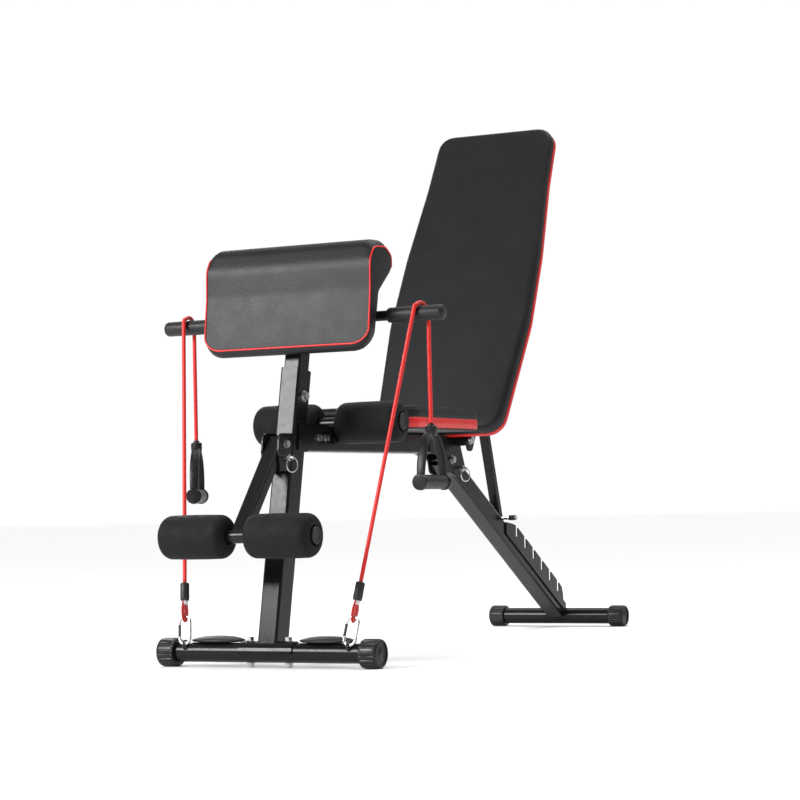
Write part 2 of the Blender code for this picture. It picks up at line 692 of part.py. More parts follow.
def make_rear_leg():
    along = Vector((0, math.cos(LEG_DROP), -math.sin(LEG_DROP)))
    pivot = Vector((0, *LEG_PIVOT))
    length = (REAR_FOOT_Y - LEG_PIVOT[0]) / math.cos(LEG_DROP)
    leg = box_tube("rear_leg", pivot - along * 0.012, pivot + along * length, LEG_SIZE, LEG_SIZE, TUBE_WALL)
    foot = (REAR_FOOT_Y, REAR_CAP_R)
    foot_space = rod("foot_space", (-0.1, *foot), (0.1, *foot), FOOT_TUBE_R + GAP, steps=24)
    beyond = side_plate("beyond", [(REAR_FOOT_Y, -0.05, 0), (REAR_FOOT_Y + 0.1, -0.05, 0),
                                   (REAR_FOOT_Y + 0.1, 0.2, 0), (REAR_FOOT_Y, 0.2, 0)], 0, 0.1)
    pivot_hole = rod("leg_hole", (-0.1, *LEG_PIVOT), (0.1, *LEG_PIVOT), 0.0044, steps=12)
    cut(leg, foot_space, beyond, pivot_hole)
    place(leg, "rear_leg", "steel", "rear_leg")
    foot_tube("rear_foot_tube", *foot, REAR_FOOT_LENGTH, "rear_leg")
    for side in SIDES:
        foot_cap("rear_foot_cap_" + side, side, *foot, REAR_FOOT_LENGTH, REAR_CAP_R, 14, "rear_leg")
    make_rack()


def make_rack():
    """Two notched plates on the sides of the leg. Each notch is a vertical slot between teeth."""
    floor_height = 0.0008
    outline = [(0.985, leg_top(0.985) - 0.027, 0), (1.285, leg_top(1.285) - 0.027, 0),
               (1.285, leg_top(1.285) + 0.004, 0)]
    for i in reversed(range(RACK_SLOTS)):
        rear = RACK_FIRST_SLOT_Y + i * RACK_PITCH + RACK_SLOT_WIDTH / 2
        front = rear - RACK_SLOT_WIDTH
        last = i == RACK_SLOTS - 1
        if last:
            outline.append((1.279, leg_top(1.279) + RACK_TOOTH - 0.002, 0))
        outline.append((rear, leg_top(rear) + RACK_TOOTH, 0))
        outline.append((rear, leg_top(rear) + floor_height, 0))
        outline.append((front, leg_top(rear) + floor_height, 0))
        top = RACK_TOOTH if i else RACK_TOOTH - 0.0005
        outline.append((front, leg_top(front) + top, 0))
    outline.append((1.018, 0.2400, 0))
    outline.append((0.985, 0.2445, 0))
    plate_x = LEG_SIZE / 2 + GAP + PLATE / 2
    for side, sign in SIDES.items():
        plate = side_plate("rack_plate", outline, sign * plate_x)
        place(plate, "rack_plate_" + side, "steel", "rear_leg")


# ---------------------------------------------------------------- backrest


def back_outline():
    """Half outline of the backrest pad: x and distance up the backrest from its pivot."""
    half = [(0.142, -0.005, 0.035), (0.1605, 0.250, 0.20), (0.1555, 0.420, 0.25), (0.1405, 0.600, 0.40),
            (0.1350, 0.740, 0.033)]
    other = [(-x, up, radius) for x, up, radius in reversed(half)]
    return half + other


def back_matrix(behind):
    """Places an outline of x and distance up the backrest at a depth behind the pivot line."""
    origin = on_back(0, behind)
    return Matrix.Translation(origin) @ Matrix((Vector((1, 0, 0)), BACK_UP, -BACK_BEHIND)).transposed().to_4x4()


def shrink(corners, by):
    """The backrest outline drawn in by a margin on every side."""
    middle = 0.38
    return [(x - math.copysign(by, x), up - math.copysign(by, up - middle), radius) for x, up, radius in corners]


def make_backrest():
    front = -BACK_PAD_FRONT
    pad_back = front + BACK_PAD_THICK
    pad = outline_solid("backrest_pad", [rounded(back_outline(), 5)], BACK_PAD_THICK,
                        back_matrix((front + pad_back) / 2))
    bevel(pad, 0.010, 2)
    place(pad, "backrest_pad", "vinyl", "backrest")
    board_front = pad_back + GAP
    board_back = board_front + BOARD_THICK
    board = outline_solid("backrest_board", [rounded(shrink(back_outline(), 0.007), 3)], BOARD_THICK,
                          back_matrix((board_front + board_back) / 2))
    place(board, "backrest_board", "board", "backrest")
    tube_front = board_back + GAP
    tube_middle = tube_front + BACK_TUBE[1] / 2
    tube = box_tube("backrest_tube", on_back(0.062, tube_middle), on_back(0.640, tube_middle), *BACK_TUBE,
                    TUBE_WALL, 0.003)
    tube_back = tube_front + BACK_TUBE[1]
    ear_gap, lug_thick = STRUT_SIZE[0] / 2 + 3 * GAP, 0.0028
    for side, sign in SIDES.items():
        lug = [on_back(STRUT_UP + u, b) for u, b in ((-0.020, tube_back - 0.010), (0.020, tube_back - 0.010),
                                                     (0.011, STRUT_BEHIND + 0.010), (-0.011, STRUT_BEHIND + 0.010))]
        radii = (0, 0, 0.008, 0.008)
        corners = [(p.y, p.z, r) for p, r in zip(lug, radii)]
        ear = side_plate("strut_lug", corners[::-1], sign * (ear_gap + lug_thick / 2), lug_thick)
        join(tube, ear)
        tube_lug_hole = (STRUT_HEAD.y, STRUT_HEAD.z)
        cut(tube, rod("lug_hole", (sign * 0.005, *tube_lug_hole), (sign * 0.05, *tube_lug_hole), 0.0044, steps=12))
    place(tube, "backrest_tube", "steel", "backrest")
    reach = ear_gap + lug_thick + GAP
    strut_bolt = bolt("strut_bolt", (reach, STRUT_HEAD.y, STRUT_HEAD.z), (-reach, STRUT_HEAD.y, STRUT_HEAD.z),
                      0.004, 0.012, 0.0075)
    place(strut_bolt, "strut_bolt", "zinc", "backrest")
    make_hinge_ears(board_back + GAP)


def make_hinge_ears(back_face):
    """Two plates under the board that carry the backrest on the hinge tube."""
    thick = 0.004
    corners = [(0.118, back_face, 0.004), (0.014, back_face, 0.006), (-0.026, -0.002, 0.010),
               (-0.018, 0.020, 0.012), (0.020, 0.022, 0.012), (0.118, back_face + 0.012, 0.004)]
    points = [on_back(up, behind) for up, behind, _ in corners]
    outline = [(p.y, p.z, c[2]) for p, c in zip(points, corners)]
    for side, sign in SIDES.items():
        ear = side_plate("hinge_ear", outline, sign * (HINGE_HALF + GAP + thick / 2), thick,
                         [(*BACK_PIVOT, 0.0049)])
        place(ear, "hinge_ear_" + side, "steel", "backrest")


def make_strut():
    head = STRUT_HEAD
    foot = Vector((0, *STRUT_FOOT))
    along = (foot - head).normalized()
    strut = box_tube("support_strut", head - along * 0.004, foot, *STRUT_SIZE, 0, 0.002)
    half = STRUT_SIZE[0] / 2
    boss = rod("boss", (-half, foot.y, foot.z), (half, foot.y, foot.z), 0.0078)
    top_boss = rod("top_boss", (-half, head.y, head.z), (half, head.y, head.z), 0.0078)
    join(strut, boss, top_boss)
    cut(strut, rod("strut_hole", (-0.05, head.y, head.z), (0.05, head.y, head.z), 0.0044, steps=12),
        rod("pin_hole", (-0.05, foot.y, foot.z), (0.05, foot.y, foot.z), 0.0043, steps=12))
    place(strut, "support_strut", "steel", "support_strut")
    pin = rod("rack_pin", (-0.044, foot.y, foot.z), (0.044, foot.y, foot.z), 0.004, steps=12)
    for sign in (-1, 1):
        join(pin, rod("pin_collar", (sign * 0.0265, foot.y, foot.z), (sign * 0.0445, foot.y, foot.z), 0.0052, steps=12))
    place(pin, "rack_pin", "zinc", "support_strut")


# ---------------------------------------------------------------- curl post, handlebar and pad


def make_curl_post():
    low = POST_FOOT + POST_AXIS * 0.300
    high = POST_FOOT + POST_AXIS * 0.640
    post = box_tube("inner_post", low, high, *INNER_POST, TUBE_WALL, 0.003)
    bar_hole = rod("bar_hole", (-0.1, BAR_Y, BAR_Z), (0.1, BAR_Y, BAR_Z), BAR_R + GAP, steps=24)
    cut(post, bar_hole)
    place(post, "inner_post", "steel", "curl_post")
    half = BAR_HALF - 0.004 - GAP
    bar = rod("handlebar", (-half, BAR_Y, BAR_Z), (half, BAR_Y, BAR_Z), BAR_R, BAR_R - TUBE_WALL)
    place(bar, "handlebar", "steel", "curl_post")
    bore = BAR_R + GAP
    for side, sign in SIDES.items():
        start = BAR_HALF - GRIP_LENGTH
        profile = [(0, BAR_HALF), (GRIP_R - 0.004, BAR_HALF), (GRIP_R, BAR_HALF - 0.004), (GRIP_R, start),
                   (bore, start), (bore, BAR_HALF - 0.004), (0, BAR_HALF - 0.004)]
        grip = turned("grip_" + side, profile, (0, BAR_Y, BAR_Z), (sign, 0, 0))
        place(grip, "grip_" + side, "grip", "curl_post")


def on_curl(up, ahead):
    """A point given along the leaning post and ahead of the inner post's front face, as y, z."""
    point = POST_FOOT + POST_AXIS * up - POST_BACKWARD * (INNER_POST[1] / 2 + ahead)
    return point.y, point.z


def make_curl_pad():
    """The arm pad: flat and leaning in front, with a round bulge at its top rear."""
    board_thick = 0.006
    pad_back = board_thick + 2 * GAP
    outline = [(0.0730, 0.5655, 0.014), (*on_curl(0.544, pad_back), 0.006), (*on_curl(0.656, pad_back), 0.012),
               (0.1780, 0.7260, 0.016), (0.1770, 0.7560, 0.016), (0.1560, 0.7810, 0.018),
               (0.1080, 0.7790, 0.022), (0.0900, 0.7350, 0.060), (0.0885, 0.6850, 0.100)]
    pad = side_plate("curl_pad", outline, 0, 2 * CURL_HALF_WIDTH)
    bevel(pad, 0.006, 2)
    place(pad, "curl_pad", "vinyl", "curl_post")
    corners = [(*on_curl(0.550, GAP), 0), (*on_curl(0.652, GAP), 0),
               (*on_curl(0.652, GAP + board_thick), 0), (*on_curl(0.550, GAP + board_thick), 0)]
    board = side_plate("curl_pad_board", corners, 0, 0.300)
    place(board, "curl_pad_board", "board", "curl_post")


# ---------------------------------------------------------------- resistance cords


def cord_line(side):
    """Where a cord starts, at its clip, and the unit vector of its straight run to the grip."""
    foot = on_foot(SIDES[side] * EYELET_X, FOOT_TUBE_R + 0.0042)
    reach = Vector((BAR_Y - foot.y, BAR_Z - foot.z))
    lean = math.atan2(reach.x, reach.y) - math.asin(CORD_RING / reach.length)
    tangent = Vector((CORD_TOP[side], BAR_Y - CORD_RING * math.cos(lean), BAR_Z + CORD_RING * math.sin(lean)))
    return foot, tangent, lean


def make_cords():
    for side in SIDES:
        foot, tangent, lean = cord_line(side)
        along = (tangent - foot).normalized()
        clip_top = foot + along * (CLIP_LENGTH - 2 * CLIP_WIRE_R)
        strap_low = clip_top - along * 0.0068
        strap_top = strap_low + along * STRAP_LENGTH
        sleeve_top = strap_top + along * SLEEVE_LENGTH
        start = sleeve_top + along * GAP
        route = [start.lerp(tangent, k / 4) for k in range(4)]
        for share in (0, 0.2, 0.4, 0.6, 0.8, 1):
            angle = (math.pi - lean) * (1 - share)
            x = CORD_TOP[side] + share * (HANDLE_X[side] - CORD_TOP[side])
            route.append(Vector((x, BAR_Y + CORD_RING * math.cos(angle), BAR_Z + CORD_RING * math.sin(angle))))
        handle_top = Vector((HANDLE_X[side], BAR_Y + CORD_RING, COLLAR_TOP[side]))
        route += [route[-1].lerp(handle_top, k / 3) for k in (1, 2)] + [handle_top + Vector((0, 0, GAP))]
        route = smooth_path(route, 4 * CORD_R)
        place(wire("cord_" + side, route, CORD_R), "cord_" + side, "cord", "curl_post")
        make_cord_end(side, strap_low, strap_top, sleeve_top)
        make_clip(side, foot, clip_top)
        make_handle(side, handle_top)


def make_cord_end(side, strap_low, strap_top, sleeve_top):
    """The folded strap that hangs on the clip, and the sleeve that crimps it to the cord."""
    along = (sleeve_top - strap_low).normalized()
    end = rod("cord_end_" + side, strap_top - along * 0.004, sleeve_top, SLEEVE_R, steps=14)
    middle = (strap_low + strap_top) / 2
    half_up, half_across, web = (strap_top - strap_low).length / 2, 0.0075, 0.0022
    turn = [2 * math.pi * k / 16 for k in range(16)]
    outlines = [[Vector(((half_across - inset) * math.cos(a), (half_up - inset) * math.sin(a))) for a in turn]
                for inset in (0, web)]
    across = along.cross(Vector((1, 0, 0))).normalized()
    matrix = Matrix.Translation(middle) @ Matrix((across, along, across.cross(along))).transposed().to_4x4()
    join(end, outline_solid("strap", outlines, 0.010, matrix))
    place(end, "cord_end_" + side, "webbing", "frame")


def make_clip(side, low, high):
    """An oval snap hook that joins the strap to the eyelet on the foot tube."""
    upward = (high - low).normalized()
    across = Vector((0, 1, 0)).cross(upward).normalized()
    r = CLIP_HALF_WIDTH
    turn = [math.pi * k / 7 for k in range(8)]
    points = [low + upward * r - upward * (r * math.sin(a)) - across * (r * math.cos(a)) for a in turn]
    points += [high - upward * r + upward * (r * math.sin(a)) + across * (r * math.cos(a)) for a in turn]
    clip = wire("clip_" + side, points, CLIP_WIRE_R, cyclic=True, resolution=1)
    place(clip, "clip_" + side, "clip", "frame")


def make_handle(side, top):
    """A stirrup handle: collar, two curved arms and a plain tube to hold."""
    turn = Matrix.Rotation(HANDLE_TURN[side], 4, "Z")
    grip_drop, half_grip = 0.103, 0.056
    here = Matrix.Translation(top) @ turn
    r = HANDLE_BALL_R
    ball = [(r * math.sin(a), r * math.cos(a) - r) for a in (math.radians(30 * k) for k in range(4))]
    handle = turned("handle_" + side, ball + [(0.0085, -0.0095), (0.0095, -0.013), (0.0095, -0.023), (0, -0.023)],
                    top, (0, 0, 1), 14)
    for sign in (-1, 1):
        line = [(sign * 0.003, 0, -0.016), (sign * 0.016, 0, -0.020), (sign * 0.033, 0, -0.040),
                (sign * 0.044, 0, -0.062), (sign * (half_grip - 0.006), 0, -grip_drop)]
        inner = smooth_path(line, 0.012)
        band = []
        for k, point in enumerate(inner):
            ahead = inner[min(k + 1, len(inner) - 1)] - inner[max(k - 1, 0)]
            normal = Vector((ahead.z, 0, -ahead.x)).normalized() * 0.002
            band.append((point, normal))
        outline = [Vector(((p + n).x, (p + n).z)) for p, n in band]
        outline += [Vector(((p - n).x, (p - n).z)) for p, n in reversed(band)]
        stand = here @ Euler((math.pi / 2, 0, 0)).to_matrix().to_4x4()
        arm = outline_solid("handle_arm", [outline], 0.017, stand)
        join(handle, arm)
    grip_middle = here @ Vector((0, 0, -grip_drop - 0.004))
    reach = turn.to_3x3() @ Vector((half_grip, 0, 0))
    join(handle, rod("handle_grip", grip_middle - reach, grip_middle + reach, 0.0135))
    for sign in (-1, 1):
        disc_a = grip_middle + reach * (sign * 0.86)
        disc_b = grip_middle + reach * (sign * 1.04)
        join(handle, rod("handle_disc", disc_a, disc_b, 0.0155))
    place(handle, "handle_" + side, "plastic", "handle_" + side)


def main():
    global PARTS, CUTTERS
    clear_scene()
    PARTS = make_collection("decline_sit_up_bench")
    CUTTERS = make_collection("cutters")
    make_materials()
    make_bodies()
    make_front_foot()
    make_front_post()
    make_footplates()
    make_arm_bracket()
    make_roller_arm()
    make_beam()
    make_rear_plates()
    make_seat()
    make_rear_leg()
    make_backrest()
    make_strut()
    make_curl_post()
    make_curl_pad()
    make_cords()
    for tool in CUTTERS.objects:
        tool.parent = BODIES["frame"]
    BODIES["frame"].location.y = -CENTRE_Y


main()
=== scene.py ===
"""Looks for the folding sit-up bench: pads, rollers, tubes, cords, materials, light and camera."""

import json
import math

import bmesh
import bpy
from mathutils import Matrix, Vector


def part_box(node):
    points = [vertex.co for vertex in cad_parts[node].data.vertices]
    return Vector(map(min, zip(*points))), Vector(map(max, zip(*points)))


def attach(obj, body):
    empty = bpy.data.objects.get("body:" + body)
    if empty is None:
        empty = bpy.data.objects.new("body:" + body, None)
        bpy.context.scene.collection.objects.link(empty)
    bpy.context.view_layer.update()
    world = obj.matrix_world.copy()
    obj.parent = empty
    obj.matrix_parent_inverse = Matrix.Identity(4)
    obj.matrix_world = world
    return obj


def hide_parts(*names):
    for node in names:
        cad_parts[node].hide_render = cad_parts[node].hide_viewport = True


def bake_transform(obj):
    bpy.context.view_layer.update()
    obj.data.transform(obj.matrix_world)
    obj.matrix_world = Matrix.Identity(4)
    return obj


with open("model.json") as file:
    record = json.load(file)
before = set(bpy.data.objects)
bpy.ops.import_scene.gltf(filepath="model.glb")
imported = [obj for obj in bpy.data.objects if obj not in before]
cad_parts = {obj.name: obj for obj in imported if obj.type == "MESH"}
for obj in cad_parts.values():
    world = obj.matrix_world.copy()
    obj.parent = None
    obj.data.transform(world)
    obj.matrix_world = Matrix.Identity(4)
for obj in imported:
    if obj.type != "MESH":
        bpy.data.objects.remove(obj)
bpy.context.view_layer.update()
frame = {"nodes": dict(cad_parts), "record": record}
NODES = frame["nodes"]


def corners(node):
    low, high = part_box(node)
    return Vector(low), Vector(high)


def middle(node):
    low, high = corners(node)
    return (low + high) / 2


# The CAD was drawn with y = 0 on the axis of the front foot tube.
SHIFT = middle("front_foot_cap_left").y
X, Y, Z = Vector((1, 0, 0)), Vector((0, 1, 0)), Vector((0, 0, 1))
SIDES = {"left": -1, "right": 1}


def at(x, y, z):
    """A point in the CAD's own measure, moved to where the bench stands."""
    return Vector((x, y + SHIFT, z))


# ---------------------------------------------------------------- materials


class Look:
    """A Principled material with its node tree, and helpers that add pattern to it."""

    def __init__(self, name, color, roughness, metallic=0.0):
        self.material = bpy.data.materials.new(name)
        self.material.use_nodes = True
        self.tree = self.material.node_tree
        self.shader = self.tree.nodes["Principled BSDF"]
        self.set(Base_Color=(*color, 1), Roughness=roughness, Metallic=metallic)
        self.color, self.roughness = color, roughness
        self.bump_from = None
        self.coord = self.tree.nodes.new("ShaderNodeTexCoord").outputs["Object"]

    def set(self, **values):
        for key, value in values.items():
            self.shader.inputs[key.replace("_", " ")].default_value = value
        return self

    def node(self, kind, inputs=(), **props):
        made = self.tree.nodes.new(kind)
        for key, value in props.items():
            setattr(made, key, value)
        for key, value in dict(inputs).items():
            if isinstance(value, bpy.types.NodeSocket):
                self.tree.links.new(value, made.inputs[key])
            else:
                made.inputs[key].default_value = value
        return made

    def noise(self, scale, detail=3.0, rough=0.55, stretch=None):
        vector = self.coord
        if stretch:
            vector = self.node("ShaderNodeMapping", {"Vector": vector, "Scale": stretch}).outputs[0]
        inputs = {"Vector": vector, "Scale": scale, "Detail": detail, "Roughness": rough}
        return self.node("ShaderNodeTexNoise", inputs).outputs["Fac"]

    def cells(self, scale, feature="F1"):
        inputs = {"Vector": self.coord, "Scale": scale}
        return self.node("ShaderNodeTexVoronoi", inputs, feature=feature).outputs["Distance"]

    def between(self, fac, low, high, out_low, out_high):
        inputs = {"Value": fac, "From Min": low, "From Max": high, "To Min": out_low, "To Max": out_high}
        return self.node("ShaderNodeMapRange", inputs).outputs[0]

    def vary_roughness(self, fac, spread):
        value = self.between(fac, 0.3, 0.7, self.roughness - spread, self.roughness + spread)
        self.tree.links.new(value, self.shader.inputs["Roughness"])
        return self

    def vary_color(self, fac, other, low=0.35, high=0.65):
        share = self.between(fac, low, high, 0, 1)
        mix = self.node("ShaderNodeMix", data_type="RGBA")
        self.tree.links.new(share, mix.inputs[0])
        mix.inputs[6].default_value, mix.inputs[7].default_value = (*self.color, 1), (*other, 1)
        self.tree.links.new(mix.outputs[2], self.shader.inputs["Base Color"])
        return self

    def bump(self, height, strength, distance):
        inputs = {"Height": height, "Strength": strength, "Distance": distance}
        if self.bump_from:
            inputs["Normal"] = self.bump_from
        self.bump_from = self.node("ShaderNodeBump", inputs).outputs[0]
        self.tree.links.new(self.bump_from, self.shader.inputs["Normal"])
        return self


def black_steel():
    """Glossy powder coat, a little uneven."""
    look = Look("black_steel", (0.0050, 0.0050, 0.0056), 0.23)
    look.vary_roughness(look.noise(90, 4), 0.05)
    look.vary_color(look.noise(9, 3), (0.0075, 0.0075, 0.0088))
    look.bump(look.noise(900, 2), 0.10, 0.0004)
    return look.set(Specular_IOR_Level=0.24)


def zinc():
    """Plated bolts and pins."""
    look = Look("zinc", (0.60, 0.60, 0.58), 0.30, 1.0)
    look.vary_roughness(look.noise(400, 4), 0.10)
    look.vary_color(look.noise(160, 3), (0.42, 0.42, 0.41))
    return look.bump(look.noise(1500, 2), 0.12, 0.0002)


def black_vinyl():
    """Upholstery with a fine grain over slow waves."""
    look = Look("black_vinyl", (0.0052, 0.0053, 0.0064), 0.44)
    look.vary_roughness(look.noise(34, 4), 0.025)
    look.vary_color(look.noise(14, 3), (0.0072, 0.0074, 0.0090))
    look.bump(look.cells(520, "SMOOTH_F1"), 0.34, 0.0007)
    look.bump(look.noise(1300, 3), 0.16, 0.0003)
    look.bump(look.noise(16, 2), 0.05, 0.003)
    return look.set(Specular_IOR_Level=0.30)


def black_foam():
    """Dull open foam of the rollers."""
    look = Look("black_foam", (0.0036, 0.0036, 0.0038), 0.72)
    look.vary_color(look.noise(260, 4), (0.0060, 0.0060, 0.0064))
    look.vary_roughness(look.noise(60, 3), 0.06)
    look.bump(look.cells(900), 0.30, 0.0006)
    look.bump(look.noise(500, 4), 0.30, 0.0007)
    return look.set(Specular_IOR_Level=0.22)


def grip_foam():
    """Closed foam of the grips, smoother than the rollers."""
    look = Look("grip_foam", (0.0055, 0.0055, 0.0060), 0.48)
    look.vary_roughness(look.noise(80, 3), 0.06)
    look.vary_color(look.noise(300, 3), (0.009, 0.009, 0.010))
    look.bump(look.cells(1100), 0.2, 0.0004)
    return look.set(Specular_IOR_Level=0.35)


def black_plastic():
    """Moulded caps and handles."""
    look = Look("black_plastic", (0.0060, 0.0060, 0.0066), 0.36)
    look.vary_roughness(look.noise(70, 3), 0.07)
    look.vary_color(look.noise(40, 3), (0.0095, 0.0095, 0.010))
    look.bump(look.noise(1100, 2), 0.14, 0.0003)
    return look.set(Specular_IOR_Level=0.34)


def board():
    """Dark boards behind the pads, with a stretched grain."""
    look = Look("board", (0.0085, 0.0083, 0.0082), 0.60)
    look.vary_color(look.noise(30, 5, stretch=(1, 8, 1)), (0.0140, 0.0135, 0.0130))
    return look.bump(look.noise(420, 4), 0.25, 0.0005)


def red_vinyl():
    """Bands and piping of the pads."""
    look = Look("red_vinyl", (0.70, 0.010, 0.008), 0.40)
    look.vary_roughness(look.noise(70, 3), 0.06)
    look.vary_color(look.noise(30, 3), (0.60, 0.009, 0.008))
    return look.bump(look.cells(700, "SMOOTH_F1"), 0.25, 0.0005)


def red_cord():
    """Elastic cord."""
    look = Look("red_cord", (0.70, 0.014, 0.009), 0.46)
    look.vary_roughness(look.noise(120, 3), 0.06)
    look.vary_color(look.noise(200, 3), (0.58, 0.011, 0.008))
    return look.bump(look.noise(900, 3), 0.25, 0.0004)


def red_webbing():
    """Woven strap with rows across it."""
    look = Look("red_webbing", (0.72, 0.010, 0.008), 0.66)
    weave = {"Vector": look.coord, "Scale": 260.0, "Distortion": 0.6}
    rows = look.node("ShaderNodeTexWave", weave, bands_direction="Z").outputs["Fac"]
    look.vary_color(rows, (0.55, 0.010, 0.010), 0.2, 0.8)
    look.bump(rows, 0.6, 0.0006)
    return look.set(Sheen_Weight=0.2)


def white_thread():
    """Stitching of the straps."""
    look = Look("white_thread", (0.72, 0.70, 0.69), 0.7)
    return look.bump(look.noise(1200, 3), 0.5, 0.0005)


def clip_steel():
    """Bright wire of the snap hooks."""
    look = Look("clip_steel", (0.70, 0.70, 0.70), 0.20, 1.0)
    return look.vary_roughness(look.noise(300, 4), 0.08)


def dark_steel():
    """Eyelets, and the gates of the snap hooks."""
    look = Look("dark_steel", (0.045, 0.045, 0.048), 0.30, 0.6)
    return look.vary_roughness(look.noise(200, 3), 0.06)


def black_rubber():
    """Foot plates, sleeves and the seat's lower edge."""
    look = Look("black_rubber", (0.0065, 0.0065, 0.0070), 0.52)
    look.bump(look.noise(800, 3), 0.2, 0.0003)
    return look.vary_roughness(look.noise(60, 3), 0.06)


# Each look has the name of the record's material slot, or one of its own.
FINISHES = (black_steel, zinc, black_vinyl, black_foam, grip_foam, black_plastic, board, red_vinyl, red_cord,
            red_webbing, white_thread, clip_steel, dark_steel, black_rubber)
LOOKS = {finish.__name__: finish() for finish in FINISHES}


def paint(obj, name):
    obj.data.materials.clear()
    obj.data.materials.append(LOOKS[name].material)
    return obj


for entry in frame["record"]["subparts"]:
    if entry["node"] in NODES:
        paint(NODES[entry["node"]], entry["material_slot"])

# ---------------------------------------------------------------- mesh helpers


def new_object(name, vertices, faces, look, angle=None):
    """A smooth-shaded mesh. Edges that bend by more than the angle, in degrees, are shaded sharp."""
    mesh = bpy.data.meshes.new(name)
    mesh.from_pydata([tuple(v) for v in vertices], [], faces)
    mesh.validate()
    edit = bmesh.new()
    edit.from_mesh(mesh)
    bmesh.ops.remove_doubles(edit, verts=edit.verts, dist=1e-6)
    bmesh.ops.recalc_face_normals(edit, faces=edit.faces)
    edit.to_mesh(mesh)
    edit.free()
    obj = bpy.data.objects.new(name, mesh)
    bpy.context.scene.collection.objects.link(obj)
    mesh.shade_smooth()
    if angle:
        mesh.set_sharp_from_angle(angle=math.radians(angle))
    return paint(obj, look)


def merge(name, objects):
    """Several meshes as one, keeping each one's materials."""
    vertices, faces, material_of, smooth_of, materials, sharp = [], [], [], [], [], set()
    for obj in objects:
        base, mesh, world = len(vertices), obj.data, obj.matrix_world
        vertices += [world @ v.co for v in mesh.vertices]
        local = []
        for material in mesh.materials:
            if material not in materials:
                materials.append(material)
            local.append(materials.index(material))
        for face in mesh.polygons:
            faces.append([base + i for i in face.vertices])
            material_of.append(local[face.material_index])
            smooth_of.append(face.use_smooth)
        for edge in mesh.edges:
            if edge.use_edge_sharp:
                sharp.add(tuple(sorted(base + i for i in edge.vertices)))
        bpy.data.objects.remove(obj, do_unlink=True)
    mesh = bpy.data.meshes.new(name)
    mesh.from_pydata(vertices, [], faces)
    for material in materials:
        mesh.materials.append(material)
    mesh.polygons.foreach_set("material_index", material_of)
    mesh.polygons.foreach_set("use_smooth", smooth_of)
    for edge in mesh.edges:
        edge.use_edge_sharp = tuple(sorted(edge.vertices)) in sharp
    mesh.update()
    obj = bpy.data.objects.new(name, mesh)
    bpy.context.scene.collection.objects.link(obj)
    return obj


def loft(name, rings, look, caps=True, angle=None):
    """Skins equal-length rings of points. Each ring is closed; caps fill the first and last."""
    count = len(rings[0])
    vertices = [point for ring in rings for point in ring]
    faces = []
    for i in range(len(rings) - 1):
        for k in range(count):
            a, b = i * count + k, i * count + (k + 1) % count
            faces.append((a, b, b + count, a + count))
    if caps:
        faces.append(tuple(range(count))[::-1])
        faces.append(tuple(range((len(rings) - 1) * count, len(rings) * count)))
    return new_object(name, vertices, faces, look, angle=angle)


def basis(axis, hint=Z):
    axis = Vector(axis).normalized()
    if abs(axis.dot(hint)) > 0.95:
        hint = X
    side = hint.cross(axis).normalized()
    return side, axis.cross(side)


def spin(name, profile, origin, axis, look, steps=48, angle=35):
    """A turned shape. The profile is (radius, distance along the axis) pairs."""
    side, up = basis(axis)
    axis = Vector(axis).normalized()
    turn = [2 * math.pi * k / steps for k in range(steps)]
    spokes = [side * math.cos(a) + up * math.sin(a) for a in turn]
    tip = 1e-5    # the least radius, so that an end doesn't fold into one point
    rings = []
    for radius, along in profile:
        rings.append([origin + axis * along + spoke * max(radius, tip) for spoke in spokes])
    return loft(name, rings, look, angle=angle)


def rod(name, centre, half, radius, steps):
    """A plain black bar along X."""
    profile = [(0, -half), (radius, -half), (radius, half), (0, half)]
    return spin(name, profile, centre, X, "black_steel", steps)


def smooth_path(points, count):
    """Evenly spaced points on a Catmull-Rom curve through the given points."""
    parts = 24    # of each stretch, before the points are spaced out
    points = [Vector(p) for p in points]
    ends = [2 * points[0] - points[1]] + points + [2 * points[-1] - points[-2]]
    fine = []
    for a, b, c, d in zip(ends, ends[1:], ends[2:], ends[3:]):
        for k in range(parts):
            t = k / parts
            fine.append(0.5 * (2 * b + (c - a) * t + (2 * a - 5 * b + 4 * c - d) * t ** 2
                               + (3 * b - a - 3 * c + d) * t ** 3))
    fine.append(points[-1])
    lengths = [0.0]
    for a, b in zip(fine, fine[1:]):
        lengths.append(lengths[-1] + (b - a).length)
    out, i = [], 0
    for k in range(count + 1):
        want = lengths[-1] * k / count
        while i < len(fine) - 2 and lengths[i + 1] < want:
            i += 1
        share = (want - lengths[i]) / max(lengths[i + 1] - lengths[i], 1e-9)
        out.append(fine[i].lerp(fine[i + 1], share))
    return out


def sweep(name, path, section, look, cyclic=False, hint=Z):
    """Sweeps a flat section (list of (u, v)) along a path, without twist."""
    path = [Vector(p) for p in path]
    count = len(path)
    tangents = []
    for k in range(count):
        before = path[k - 1] if cyclic or k else path[k]
        after = path[(k + 1) % count] if cyclic or k < count - 1 else path[k]
        tangents.append((after - before).normalized())
    side, _ = basis(tangents[0], hint)
    rings = []
    for point, tangent in zip(path, tangents):
        side = (side - tangent * side.dot(tangent)).normalized()
        up = tangent.cross(side)
        rings.append([point + side * u + up * v for u, v in section])
    if cyclic:
        rings.append(rings[0])
    return loft(name, rings, look, caps=not cyclic)


def disc(radius, steps=12):
    turn = [2 * math.pi * k / steps for k in range(steps)]
    return [(radius * math.cos(a), radius * math.sin(a)) for a in turn]


